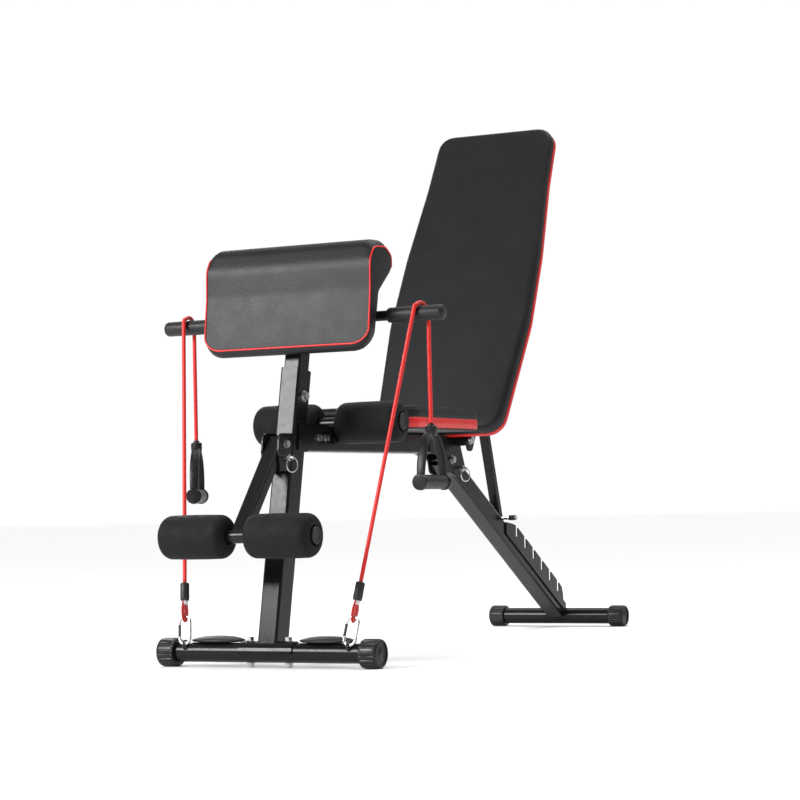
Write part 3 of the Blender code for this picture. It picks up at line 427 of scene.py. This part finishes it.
def rounded(corner_list, steps=5):
    """The outline through corners (u, v, radius), with an arc at each corner."""
    points = []
    for i, (u, v, radius) in enumerate(corner_list):
        here = Vector((u, v))
        if radius == 0:
            points.append(here)
            continue
        before = (Vector(corner_list[i - 1][:2]) - here).normalized()
        after = (Vector(corner_list[(i + 1) % len(corner_list)][:2]) - here).normalized()
        half = before.angle(after) / 2
        centre = here + (before + after).normalized() * radius / math.sin(half)
        first = here + before * radius / math.tan(half) - centre
        last = here + after * radius / math.tan(half) - centre
        for k in range(steps + 1):
            points.append(centre + first.slerp(last, k / steps).normalized() * radius)
    return points


def even(outline, count):
    """Evenly spaced points round a closed outline, starting where it starts."""
    points = [Vector(p) for p in outline] + [Vector(outline[0])]
    lengths = [0.0]
    for a, b in zip(points, points[1:]):
        lengths.append(lengths[-1] + (b - a).length)
    out, i = [], 0
    for k in range(count):
        want = lengths[-1] * k / count
        while lengths[i + 1] < want:
            i += 1
        out.append(points[i].lerp(points[i + 1], (want - lengths[i]) / (lengths[i + 1] - lengths[i])))
    return out


def inset(outline, distance):
    """The outline moved inwards along its normals."""
    count, out = len(outline), []
    area = sum(a.x * b.y - b.x * a.y for a, b in zip(outline, outline[1:] + outline[:1]))
    sign = 1 if area > 0 else -1
    for k, point in enumerate(outline):
        along = (outline[(k + 1) % count] - outline[k - 1]).normalized()
        out.append(point + Vector((-along.y, along.x)) * distance * sign)
    return out


def ride(obj, body, replaces=()):
    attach(obj, body)
    if replaces:
        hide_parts(*replaces)
    return obj


# ---------------------------------------------------------------- camera

CAMERA_PLACE = (2.1929, -3.7178, 0.2952)
CAMERA_YAW, CAMERA_PITCH, CAMERA_ROLL = math.radians(27.261), math.radians(2.442), math.radians(1.353)
CAMERA_LENS, SENSOR_WIDTH = 106.73, 36    # millimetres
FLOOR_SIZE = 60


def make_camera():
    data = bpy.data.cameras.new("camera")
    data.sensor_width, data.lens = SENSOR_WIDTH, CAMERA_LENS
    data.clip_end = FLOOR_SIZE
    camera = bpy.data.objects.new("camera", data)
    bpy.context.scene.collection.objects.link(camera)
    level = math.cos(CAMERA_PITCH)
    ahead = Vector((-math.sin(CAMERA_YAW) * level, math.cos(CAMERA_YAW) * level, math.sin(CAMERA_PITCH)))
    right = Vector((math.cos(CAMERA_YAW), math.sin(CAMERA_YAW), 0))
    up = right.cross(ahead)
    side = right * math.cos(CAMERA_ROLL) - up * math.sin(CAMERA_ROLL)
    top = right * math.sin(CAMERA_ROLL) + up * math.cos(CAMERA_ROLL)
    turn = Matrix((side, top, -ahead)).transposed().to_4x4()
    camera.matrix_world = Matrix.Translation(at(*CAMERA_PLACE)) @ turn
    bpy.context.scene.camera = camera


make_camera()

# ---------------------------------------------------------------- pads

OUTLINE_POINTS = 240
BACK_LEAN = math.radians(63)
BACK_UP = Vector((0, math.cos(BACK_LEAN), math.sin(BACK_LEAN)))
BACK_OUT = Vector((0, -math.sin(BACK_LEAN), math.cos(BACK_LEAN)))   # out of the pad's face
BACK_PIVOT = at(0, 0.7467, 0.42)
BACK_STAND = 0.025    # from the pivot's line to the back of the pad


def pad(name, outline, place, thick, crown, edge):
    """An upholstered slab. place(u, v, h) gives the point at height h over its back."""
    outer = even(outline, OUTLINE_POINTS)
    centre = sum(outer, Vector((0, 0))) / OUTLINE_POINTS
    arc = [math.radians(90 * k / 5) for k in range(1, 6)]
    # Pairs of how far in from the outline and how high: the bulging wall, then the round shoulder.
    wall = [(0.004, 0.0), (0.0, 0.003), (-0.0012, thick * 0.30), (-0.0016, thick * 0.55),
            (-0.0008, thick - edge)]
    shoulder = [(edge * (1 - math.cos(a)), thick - edge + edge * math.sin(a)) for a in arc]
    rings = [[place(p.x, p.y, height) for p in inset(outer, step)] for step, height in wall + shoulder]
    flat = inset(outer, edge)
    for share in (0.06, 0.16, 0.32, 0.52, 0.74, 0.93):
        rise = crown * (1 - (1 - share) ** 2.6)
        rings.append([place(*p.lerp(centre, share), thick + rise) for p in flat])
    return loft(name, rings, "black_vinyl")


def piping(name, outline, place, height, radius, look, inwards=0.0):
    """A thin cord round an outline, at a height over the pad's back."""
    line = inset(even(outline, OUTLINE_POINTS), inwards)
    path = [place(p.x, p.y, height) for p in line]
    return sweep(name, path, disc(radius, 10), look, cyclic=True)


def seam(name, outline, place, height, inwards):
    """The sewn edge between a pad's face and its wall."""
    line = inset(even(outline, OUTLINE_POINTS), inwards)
    return piping(name, line, place, height, 0.0012, "black_vinyl")


def back_place(x, up, height):
    """A point on the backrest, height over the back of its pad."""
    return BACK_PIVOT + X * x + BACK_UP * up + BACK_OUT * (height + BACK_STAND)


def back_outline():
    """The backrest seen from its face: wider at the middle than at either end."""
    half = [(0.142, -0.005, 0.035), (0.1605, 0.250, 0.20), (0.1555, 0.420, 0.25), (0.1405, 0.600, 0.40),
            (0.1350, 0.740, 0.033)]
    return rounded(half + [(-x, up, r) for x, up, r in reversed(half)], 6)


def band(name, outline, place, low, high, proud):
    """A flat strip of red vinyl round the back edge of a pad, tucked in at both edges."""
    outer = even(outline, OUTLINE_POINTS)
    tuck, lip = 0.008, 0.0015
    steps = ((tuck, low - 0.0004), (-proud + 0.0012, low), (-proud - 0.0014, low + lip),
             (-proud - 0.0018, (low + high) / 2), (-proud - 0.0014, high - lip), (-proud + 0.0012, high),
             (tuck, high))
    rings = [[place(p.x, p.y, h) for p in inset(outer, step)] for step, h in steps]
    return loft(name, rings, "red_vinyl", caps=False)


def make_backrest():
    outline = back_outline()
    body = pad("backrest_cushion", outline, back_place, thick=0.0355, crown=0.0028, edge=0.0085)
    sewn = seam("backrest_seam", outline, back_place, height=0.0322, inwards=0.0030)
    red = band("backrest_band", outline, back_place, low=-0.0004, high=0.0118, proud=0.0006)
    cushion = merge("backrest_cushion", [body, sewn, red])
    ride(cushion, "backrest", ["backrest_pad"])


def make_seat():
    low, high = corners("seat_pad")
    centre = (low + high) / 2

    def place(x, y, height):
        return Vector((x, centre.y + y, low.z + height))

    w, d, round_corner = (high.x - low.x) / 2, (high.y - low.y) / 2, 0.04
    outline = rounded([(x, y, round_corner) for x, y in ((-w, -d), (w, -d), (w, d), (-w, d))], 8)
    thick, band_low = high.z - low.z, -0.0062
    body = pad("seat_cushion", outline, place, thick=thick - 0.003, crown=0.0035, edge=0.009)
    sewn = seam("seat_seam", outline, place, height=thick - 0.0055, inwards=0.0022)
    strip = band("seat_band", outline, place, low=band_low, high=0.0145, proud=0.0004)
    edge_height, edge_radius = band_low - 0.0016, 0.0013
    edge = piping("seat_edge", outline, place, edge_height, edge_radius, "black_rubber", inwards=0.001)
    cushion = merge("seat_cushion", [body, sewn, strip, edge])
    ride(cushion, "frame", ["seat_pad"])


CURL_LEAN = math.radians(12)
POST_UP = Vector((0, math.sin(CURL_LEAN), math.cos(CURL_LEAN)))
POST_BACK = Vector((0, math.cos(CURL_LEAN), -math.sin(CURL_LEAN)))
POST_FOOT = at(0, -0.0126, 0.039) + POST_BACK * 0.0475 / 2


def on_curl(up, ahead):
    """The (y, z) of a point up along the post and ahead of its front face."""
    point = POST_FOOT + POST_UP * up - POST_BACK * (0.0185 + ahead)
    return point.y - SHIFT, point.z


def curl_profile():
    """The side view of the curl pad: a slab whose top rolls back over the post."""
    back = 0.0066
    return rounded([(0.0745, 0.5672, 0.012), (*on_curl(0.546, back), 0.008), (*on_curl(0.656, back), 0.016),
                    (0.1765, 0.7260, 0.020), (0.1755, 0.7560, 0.018), (0.1550, 0.7795, 0.020),
                    (0.1090, 0.7775, 0.026), (0.0915, 0.7350, 0.060), (0.0900, 0.6850, 0.100)], 7)


def make_curl_pad():
    """The curl pad with its round corners, and one length of piping round its front."""
    count = 120
    line = even(curl_profile(), count)
    low_z, top_z = min(p.y for p in line), max(p.y for p in line)
    half, low_corner, top_corner = 0.1755, 0.036, 0.020
    split, shoulder = 0.660, 0.740      # the corners squeeze what is below and above these heights
    lean_top, slope = 0.7, 0.1322       # below this height a squeezed point slides along the leaning slab
    face_y, face_deep = 0.125, 0.05     # the crown grows over this depth in front of this place
    crown_low, crown_tall, crown_out, hollow = 0.57, 0.20, 0.0030, 0.0012

    def corner_cut(x, radius):
        """How far a round corner of the front view takes the edge in at x."""
        over = max(abs(x) - (half - radius), 0)
        return radius - math.sqrt(max(radius ** 2 - over ** 2, 0))

    def station(x, shrink=0.0, shift=0.0):
        """The side profile at x, squeezed up or down by the round corners, and crowned in front."""
        lift, drop = corner_cut(x, low_corner), corner_cut(x, top_corner)
        ring = []
        for p in inset(line, shrink):
            z = p.y
            if z < split:
                z = split - (split - low_z - lift) * (split - z) / (split - low_z)
            elif z > shoulder:
                z = shoulder + (z - shoulder) * (top_z - drop - shoulder) / (top_z - shoulder)
            lean = slope * (z - p.y) if p.y < lean_top else 0
            front = max(face_y - p.x, 0) / face_deep
            rise = math.sin(math.pi * min(max((z - crown_low) / crown_tall, 0), 1)) ** 0.5
            crown = crown_out * front * rise * (1 - (x / half) ** 4) - hollow * front
            ring.append(at(x + shift, p.x + lean - crown, z))
        return ring

    xs = [half * math.sin(math.pi / 2 * k / 20) for k in range(21)]
    xs = sorted({-x for x in xs} | set(xs))
    ends = [(0.0050, 0.0006), (0.0028, 0.0004), (0.0012, 0.0)]    # how far in, and how far out along X
    rings = [station(-half, shrink, -shift) for shrink, shift in ends]
    rings += [station(x) for x in xs[1:-1]]
    rings += [station(half, shrink, shift) for shrink, shift in reversed(ends)]
    body = loft("curl_cushion", rings, "black_vinyl", angle=50)

    # The piping starts behind the roll, comes over it and down the right end, follows the lower
    # edge, and goes back up the left end in the same way.
    rear = min(k for k, p in enumerate(line) if p.x > 0.1745 and p.y > 0.70)
    order = list(range(rear, count)) + [0]
    sewn, proud = half - 0.0008, -0.0004
    right = [station(sewn, proud)[k] for k in order]
    left = [station(-sewn, proud)[k] for k in reversed(order)]
    below = [station(x, proud)[0] for x in reversed(xs[1:-1])]
    path = smooth_path(right + below + left, 260)
    cord = sweep("curl_piping", path, disc(0.0017, 8), "red_vinyl", hint=X)
    cushion = merge("curl_cushion", [body, cord])
    ride(cushion, "curl_post", ["curl_pad"])


make_backrest()
make_seat()
make_curl_pad()

# ---------------------------------------------------------------- rollers, grips, tubes and caps


def roller_foam(node, sign):
    """Dense foam with soft round ends, and a recess in the outer end for the bar's plug."""
    low, high = corners(node)
    radius, length = (high.z - low.z) / 2, high.x - low.x
    origin = Vector((low.x if sign > 0 else high.x, (low.y + high.y) / 2, (low.z + high.z) / 2))
    edge, swell = 0.016, 0.0006
    arc = [math.radians(90 * k / 8) for k in range(9)]
    profile = [(0.0135, 0.004), (0.0150, 0.0), (radius - edge - 0.004, 0.0)]
    profile += [(radius - edge + edge * math.sin(a), edge - edge * math.cos(a)) for a in arc]
    profile += [(radius + swell, length * 0.35), (radius + swell, length * 0.65)]
    profile += [(radius - edge + edge * math.cos(a), length - edge + edge * math.sin(a)) for a in arc]
    profile += [(radius - edge - 0.0035, length), (0.0200, length), (0.0188, length - 0.0008),
                (0.0182, length - 0.0050), (0.0136, length - 0.0050)]
    foam = spin(node + "_foam", profile, origin, X * sign, "black_foam", 64)
    ride(foam, node, [node])


def roller_bar(node, body):
    """The bar through a pair of rollers, with a plug in each end."""
    low, high = corners(node)
    centre, half = (low + high) / 2, (high.x - low.x) / 2
    bar = [rod(node, centre, half - 0.003, 0.0125, 40)]
    plug = [(0.0125, half - 0.006), (0.0158, half - 0.0058), (0.0163, half - 0.0035),
            (0.0160, half - 0.001), (0.0150, half), (0.0128, half), (0.0120, half - 0.0012),
            (0.0, half - 0.0014)]
    for sign in (-1, 1):
        bar.append(spin(node + "_plug", plug, centre, X * sign, "black_plastic", 40))
    ride(merge(node + "_smooth", bar), body, [node])


def make_rollers():
    for level in ("upper", "lower"):
        for side, sign in SIDES.items():
            roller_foam(f"{level}_roller_{side}", sign)
    roller_bar("upper_roller_bar", "frame")
    roller_bar("lower_roller_bar", "roller_arm")


def make_handlebar():
    low, high = corners("handlebar")
    bar = rod("handlebar_smooth", (low + high) / 2, (high.x - low.x) / 2, 0.0095, 32)
    ride(bar, "curl_post", ["handlebar"])
    for side, sign in SIDES.items():
        low, high = corners("grip_" + side)
        length = high.x - low.x
        inner = low.x if sign > 0 else high.x
        origin = Vector((inner, (low.y + high.y) / 2, (low.z + high.z) / 2))
        profile = [(0.0098, 0.0004), (0.0112, 0), (0.0134, 0.0016), (0.0142, 0.005), (0.0142, length - 0.006),
                   (0.0136, length - 0.0026), (0.0118, length - 0.0004), (0.0, length)]
        grip = spin("grip_foam_" + side, profile, origin, X * sign, "grip_foam", 40, angle=60)
        ride(grip, "curl_post", ["grip_" + side])


def foot_cap(node, body, ribs, deep):
    """A moulded end cap with ribs, a rounded shoulder and a recessed end face."""
    low, high = corners(node)
    centre = (low + high) / 2
    sign = 1 if centre.x > 0 else -1
    inner = low.x if sign > 0 else high.x
    length, radius = high.x - low.x, (high.z - low.z) / 2
    rib_steps, on_rib = 6, 4    # points to each rib and groove, and how many of them lie on the rib
    steps = ribs * rib_steps
    # Distance along the cap, share of its radius, and share of the groove's depth.
    stations = [(0.0, 0.80, 0.0), (0.0004, 0.955, 0.3), (0.003, 0.992, 0.8), (0.006, 1.0, 1.0),
                (length - 0.007, 1.0, 1.0), (length - 0.0030, 0.985, 0.7), (length - 0.0008, 0.940, 0.3),
                (length, 0.880, 0.0), (length, 0.800, 0.0), (length - 0.0022, 0.775, 0.0),
                (length - 0.0026, 0.30, 0.0), (length - 0.0012, 0.20, 0.0), (length - 0.001, 0.001, 0.0)]
    rings = []
    for along, share, relief in stations:
        x = inner + sign * along
        ring = []
        for k in range(steps):
            angle = 2 * math.pi * (k + 0.5) / steps
            groove = 0 if (k + 3) % rib_steps < on_rib else deep * relief
            r = radius * share - groove
            ring.append(Vector((x, centre.y + r * math.cos(angle), centre.z + r * math.sin(angle))))
        rings.append(ring)
    cap = loft(node + "_ribbed", rings, "black_plastic", angle=40)
    ride(cap, body, [node])


def foot_tube(end, body, extra=()):
    """The round cross tube of the front or rear foot, on the axis of its caps."""
    node = end + "_foot_tube"
    low, high = corners(node)
    axis = middle(end + "_foot_cap_left")
    tube = rod(node + "_smooth", Vector((0, axis.y, axis.z)), (high.x - low.x) / 2, 0.018, 48)
    if extra:
        tube = merge(node + "_smooth", [tube, *extra])
    ride(tube, body, [node])


FOOT_Z = 0.0266         # the axis of the front foot tube
EYELET_X = 0.171
EYELET_OUT = 0.020      # from the tube's axis to the middle of the eyelet


def eyelet(side):
    """A ring on the front foot, 45 degrees up and forward, for the clip of a cord."""
    ring_radius, wire, steps = 0.008, 0.002, 28
    slant = math.pi / 4
    forward, up = EYELET_OUT * math.sin(slant), EYELET_OUT * math.cos(slant)
    centre = at(SIDES[side] * EYELET_X, -forward, FOOT_Z + up)
    turn = [2 * math.pi * k / steps for k in range(steps)]
    path = [centre + Y * ring_radius * math.cos(a) + Z * ring_radius * math.sin(a) for a in turn]
    return sweep("eyelet", path, disc(wire, 10), "dark_steel", cyclic=True, hint=X)


def make_foot_plate(side):
    """A thin domed oval pad with a fine rim."""
    low, high = corners("footplate_" + side)
    centre = (low + high) / 2
    wide, deep, thick, dome_thick = 0.0560, 0.0260, high.z - low.z, 0.011
    turn = [2 * math.pi * k / 56 for k in range(56)]
    # Share of the oval's size, and height for a plate of the dome's own thickness.
    dome = [(0.0, 0.0), (0.80, 0.0), (0.93, 0.0006), (0.990, 0.0024), (1.0, 0.0034), (0.992, 0.0044),
            (0.94, 0.0058), (0.80, 0.0082), (0.60, 0.0102), (0.35, 0.0114), (0.12, 0.0118), (0.0, 0.0118)]
    rings = []
    for share, height in dome:
        share = max(share, 0.001)
        z = low.z + height * thick / dome_thick
        w, d = wide * share, deep * share
        rings.append([Vector((centre.x + w * math.cos(a), centre.y + d * math.sin(a), z)) for a in turn])
    plate = loft("footplate_dome_" + side, rings, "black_rubber", angle=60)
    ride(plate, "frame", ["footplate_" + side])


def make_rack_pin_ends():
    """Black sleeves on both ends of the pin that drops into the rack."""
    low, high = corners("rack_pin")
    centre = Vector((0, (low.y + high.y) / 2, (low.z + high.z) / 2))
    end = high.x
    profile = [(0, end - 0.0165), (0.0048, end - 0.0165), (0.0056, end - 0.0155), (0.0058, end - 0.002),
               (0.0052, end - 0.0005), (0.0, end - 0.0002)]
    for side, sign in SIDES.items():
        sleeve = spin("rack_pin_sleeve_" + side, profile, centre, X * sign, "black_rubber", 24, angle=50)
        ride(sleeve, "support_strut")


make_rollers()
make_handlebar()
for side in SIDES:
    foot_cap("front_foot_cap_" + side, "frame", 22, 0.0013)
    foot_cap("rear_foot_cap_" + side, "rear_leg", 30, 0.0008)
foot_tube("front", "frame", [eyelet(side) for side in SIDES])
foot_tube("rear", "rear_leg")
for side in SIDES:
    make_foot_plate(side)
make_rack_pin_ends()

# ---------------------------------------------------------------- cords, straps, clips and handles

CORD_R = 0.00375
BAR_Y, BAR_Z = 0.1426, 0.637
CORD_RING = 0.014 + CORD_R + 0.0024    # from the handlebar's axis to the cord's, over the grip
HANDLE_X = {"left": -0.250, "right": 0.256}
CORD_TOP = {"left": -0.248, "right": 0.246}
COLLAR_TOP = {"left": 0.421, "right": 0.436}
HANDLE_TURN = {"left": math.radians(115.0), "right": math.radians(92.0)}
CLIP_OUT = 0.0222                      # from the foot tube's axis to the clip's foot
CLIP_LENGTH, CLIP_END = 0.056, 0.0023  # outside length, and from each end to the wire's axis
STRAP_OVERLAP, STRAP_LENGTH, SLEEVE_LENGTH = 0.0068, 0.036, 0.034
TOUCH_GAP = 0.0003                     # keeps a cord's ends off the pieces that hold it
HANDLE_DROP = 0.103


def cord_places(side):
    """The clip's foot, the point where the cord meets the grip, and its lean."""
    r = CLIP_OUT * math.sqrt(0.5)
    foot = Vector((SIDES[side] * EYELET_X, -r, FOOT_Z + r))
    reach = Vector((BAR_Y - foot.y, BAR_Z - foot.z))
    lean = math.atan2(reach.x, reach.y) - math.asin(CORD_RING / reach.length)
    y, z = BAR_Y - CORD_RING * math.cos(lean), BAR_Z + CORD_RING * math.sin(lean)
    return foot, Vector((CORD_TOP[side], y, z)), lean


def make_cords():
    for side in SIDES:
        foot, tangent, lean = cord_places(side)
        along = (tangent - foot).normalized()
        clip_top = foot + along * (CLIP_LENGTH - 2 * CLIP_END)
        strap_low = clip_top - along * STRAP_OVERLAP
        strap_top = strap_low + along * STRAP_LENGTH
        sleeve_top = strap_top + along * SLEEVE_LENGTH
        start = sleeve_top + along * TOUCH_GAP
        route = [start.lerp(tangent, k / 4) for k in range(4)]
        for share in (0, 0.2, 0.4, 0.6, 0.8, 1):
            angle = (math.pi - lean) * (1 - share)
            x = CORD_TOP[side] + share * (HANDLE_X[side] - CORD_TOP[side])
            y, z = BAR_Y + CORD_RING * math.cos(angle), BAR_Z + CORD_RING * math.sin(angle)
            route.append(Vector((x, y, z)))
        handle_top = Vector((HANDLE_X[side], BAR_Y + CORD_RING, COLLAR_TOP[side]))
        route += [route[-1].lerp(handle_top, k / 3) for k in (1, 2)] + [handle_top + Z * TOUCH_GAP]
        path = [at(*p) for p in smooth_path(route, 130)]
        cord = sweep("cord_" + side + "_smooth", path, disc(CORD_R, 14), "red_cord")
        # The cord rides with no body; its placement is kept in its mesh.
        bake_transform(cord)
        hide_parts("cord_" + side)
        strap = make_strap(side, at(*strap_low), at(*strap_top))
        clip = make_clip(side, at(*foot), at(*clip_top))
        make_handle(side, at(*handle_top))


def make_strap(side, low, top):
    """Folded webbing on the clip, its white stitching, and the rubber sleeve over the crimp."""
    along = (top - low).normalized()
    across = along.cross(X).normalized()
    centre, half_up = (low + top) / 2, (top - low).length / 2 - 0.0008
    half_wide, half_thin, half_deep, pinch_share = 0.0052, 0.0008, 0.0066, 0.42
    count = 28
    line = []
    for k in range(count):
        a = 2 * math.pi * k / count
        pinch = 1 - pinch_share * max(math.sin(a), 0) ** 2    # the loop narrows towards the stitching
        line.append(centre + across * half_deep * pinch * math.cos(a) + along * half_up * math.sin(a))
    section = [(-half_wide, -half_thin), (0, -0.0010), (half_wide, -half_thin), (half_wide, half_thin),
               (0, 0.0010), (-half_wide, half_thin)]
    webbing = sweep("strap", line, section, "red_webbing", cyclic=True, hint=along)
    stitches = [(0, 0), (0.0050, 0.0004), (0.0056, 0.002), (0.0056, 0.0065), (0.0050, 0.008), (0, 0.0084)]
    thread = spin("strap_thread", stitches, top - along * 0.0072, along, "white_thread", 20)
    tube = [(0.0040, 0.001), (0.0068, 0), (0.0082, 0.0014), (0.0087, 0.005), (0.0086, 0.018),
            (0.0084, 0.0315), (0.0078, 0.0330), (0.0058, 0.0337), (0.0040, 0.0330)]
    sleeve = spin("sleeve", tube, top + along * TOUCH_GAP, along, "black_rubber", 32, angle=60)
    strap = merge("cord_end_" + side + "_sewn", [webbing, thread, sleeve])
    return ride(strap, "frame", ["cord_end_" + side])


def make_clip(side, low, high):
    """A spring snap hook: bent wire, with a darker gate on one side."""
    upward = (high - low).normalized()
    across = Y.cross(upward).normalized()
    r, wire, gate_wire = 0.0115, 0.0028, 0.0026
    turn = [math.pi * k / 10 for k in range(11)]
    lower = [low + upward * (r - r * math.sin(a)) - across * r * math.cos(a) for a in turn]
    upper = [high - upward * (r - r * math.sin(a)) + across * r * math.cos(a) for a in turn]
    above, below = upper[-1], lower[0]    # the two ends of the side that opens
    bends = [above.lerp(below, 0.88), *lower, *upper, above.lerp(below, 0.12)]
    hook = sweep("hook", bends, disc(wire, 12), "clip_steel", hint=Y)
    opening = [above.lerp(below, share) for share in (0.06, 0.3, 0.7, 0.94)]
    gate = sweep("gate", opening, disc(gate_wire, 12), "dark_steel", hint=Y)
    clip = merge("clip_" + side + "_hook", [hook, gate])
    return ride(clip, "frame", ["clip_" + side])


def handle_arm(sign, here):
    """One bent arm of a stirrup, from its collar to one end of its grip."""
    steps, thin = 22, 0.0021
    bend = [(sign * 0.0045, 0, -0.0150), (sign * 0.0150, 0, -0.0205), (sign * 0.030, 0, -0.037),
            (sign * 0.0425, 0, -0.062), (sign * 0.0485, 0, -0.086), (sign * 0.0500, 0, -HANDLE_DROP - 0.006)]
    line = smooth_path(bend, steps)
    shape = [(-1, -0.55), (-0.8, -1), (0.8, -1), (1, -0.55), (1, 0.55), (0.8, 1), (-0.8, 1), (-1, 0.55)]
    rings = []
    for k, point in enumerate(line):
        ahead = (line[min(k + 1, steps)] - line[max(k - 1, 0)]).normalized()
        normal = Vector((ahead.z, 0, -ahead.x))
        t = k / steps
        wide = 0.0070 + 0.0018 * math.sin(math.pi * t)
        rings.append([here @ (point + Y * wide * u + normal * thin * v) for u, v in shape])
    return loft("arm", rings, "black_plastic", angle=50)


def handle_grip(centre, axis):
    """The ribbed tube of a stirrup and its two end caps."""
    half, rib, ribbed, steps = 0.046, 0.0006, 0.089, 20
    profile = [(0.0, -half), (0.0118, -half)]
    for k in range(steps + 1):
        profile.append((0.0128 + (rib if k % 2 else 0), -ribbed / 2 + ribbed * k / steps))
    profile += [(0.0118, half), (0.0, half)]
    pieces = [spin("tube", profile, centre, axis, "grip_foam", 36, angle=50)]
    cap = [(0, 0.0455), (0.0132, 0.0455), (0.0150, 0.0475), (0.0154, 0.0500), (0.0152, 0.0550),
           (0.0140, 0.0575), (0.0100, 0.0582), (0.0, 0.0582)]
    for sign in (-1, 1):
        pieces.append(spin("end", cap, centre, axis * sign, "black_plastic", 36, angle=50))
    return pieces


def make_handle(side, top):
    """A stirrup handle: collar, two bent arms and a ribbed tube with end caps."""
    turn = Matrix.Rotation(HANDLE_TURN[side], 4, "Z")
    here = Matrix.Translation(top) @ turn
    collar = [(0, 0.0), (0.0050, 0.0), (0.0056, 0.0012), (0.0060, 0.0035), (0.0096, 0.0042), (0.0106, 0.0052),
              (0.0108, 0.0130), (0.0104, 0.0205), (0.0090, 0.0230), (0, 0.0230)]
    pieces = [spin("collar", collar, top, -Z, "black_plastic", 32, angle=40)]
    pieces += [handle_arm(sign, here) for sign in (-1, 1)]
    grip_middle = here @ Vector((0, 0, -HANDLE_DROP - 0.004))
    pieces += handle_grip(grip_middle, (turn.to_3x3() @ X).normalized())
    handle = merge("handle_" + side + "_moulded", pieces)
    ride(handle, "handle_" + side, ["handle_" + side])


make_cords()

# ---------------------------------------------------------------- stage and light


def make_floor():
    bpy.ops.mesh.primitive_plane_add(size=FLOOR_SIZE, location=(0, 0, 0))
    floor = bpy.context.object
    floor.name = "floor"
    material = bpy.data.materials.new("floor")
    material.use_nodes = True
    shader = material.node_tree.nodes["Principled BSDF"]
    shader.inputs["Base Color"].default_value = (0.93, 0.93, 0.93, 1)
    shader.inputs["Roughness"].default_value = 0.9
    floor.data.materials.append(material)


def make_world():
    """A bright backdrop behind the bench, and a darker surround elsewhere."""
    world = bpy.data.worlds.new("studio")
    bpy.context.scene.world = world
    world.use_nodes = True
    tree = world.node_tree
    shader = tree.nodes["Background"]
    shader.inputs[0].default_value = (0.985, 0.99, 1.0, 1)
    direction = tree.nodes.new("ShaderNodeTexCoord").outputs["Generated"]
    toward = tree.nodes.new("ShaderNodeVectorMath")
    toward.operation = "DOT_PRODUCT"
    toward.inputs[1].default_value = (-0.458, 0.889, 0)    # the way the camera looks, level
    ramp = tree.nodes.new("ShaderNodeMapRange")
    ramp.interpolation_type = "SMOOTHSTEP"
    for key, value in (("From Min", 0.70), ("From Max", 0.93), ("To Min", 0.34), ("To Max", 1.02)):
        ramp.inputs[key].default_value = value
    tree.links.new(direction, toward.inputs[0])
    tree.links.new(toward.outputs["Value"], ramp.inputs["Value"])
    tree.links.new(ramp.outputs[0], shader.inputs[1])


def area_lamp(name, place, target, size, power):
    data = bpy.data.lights.new(name, "AREA")
    data.shape, data.energy = "RECTANGLE", power
    data.size, data.size_y = size
    lamp = bpy.data.objects.new(name, data)
    bpy.context.scene.collection.objects.link(lamp)
    lamp.location = place
    lamp.rotation_euler = (Vector(target) - Vector(place)).to_track_quat("-Z", "Y").to_euler()


def make_lights():
    area_lamp("key", (-2.15, -3.75, 2.25), (0, -0.3, 0.4), (2.0, 1.5), 210)
    area_lamp("rim", (-3.0, 2.4, 2.0), (0, 0, 0.5), (1.0, 2.0), 45)
    data = bpy.data.lights.new("ceiling", "SUN")
    data.angle, data.energy = math.radians(70), 2.2
    ceiling = bpy.data.objects.new("ceiling", data)
    bpy.context.scene.collection.objects.link(ceiling)
    ceiling.rotation_euler = Vector((0.15, 0.35, 1.0)).to_track_quat("Z", "Y").to_euler()


make_floor()
make_world()
make_lights()
bpy.context.scene.view_settings.view_transform = "Standard"
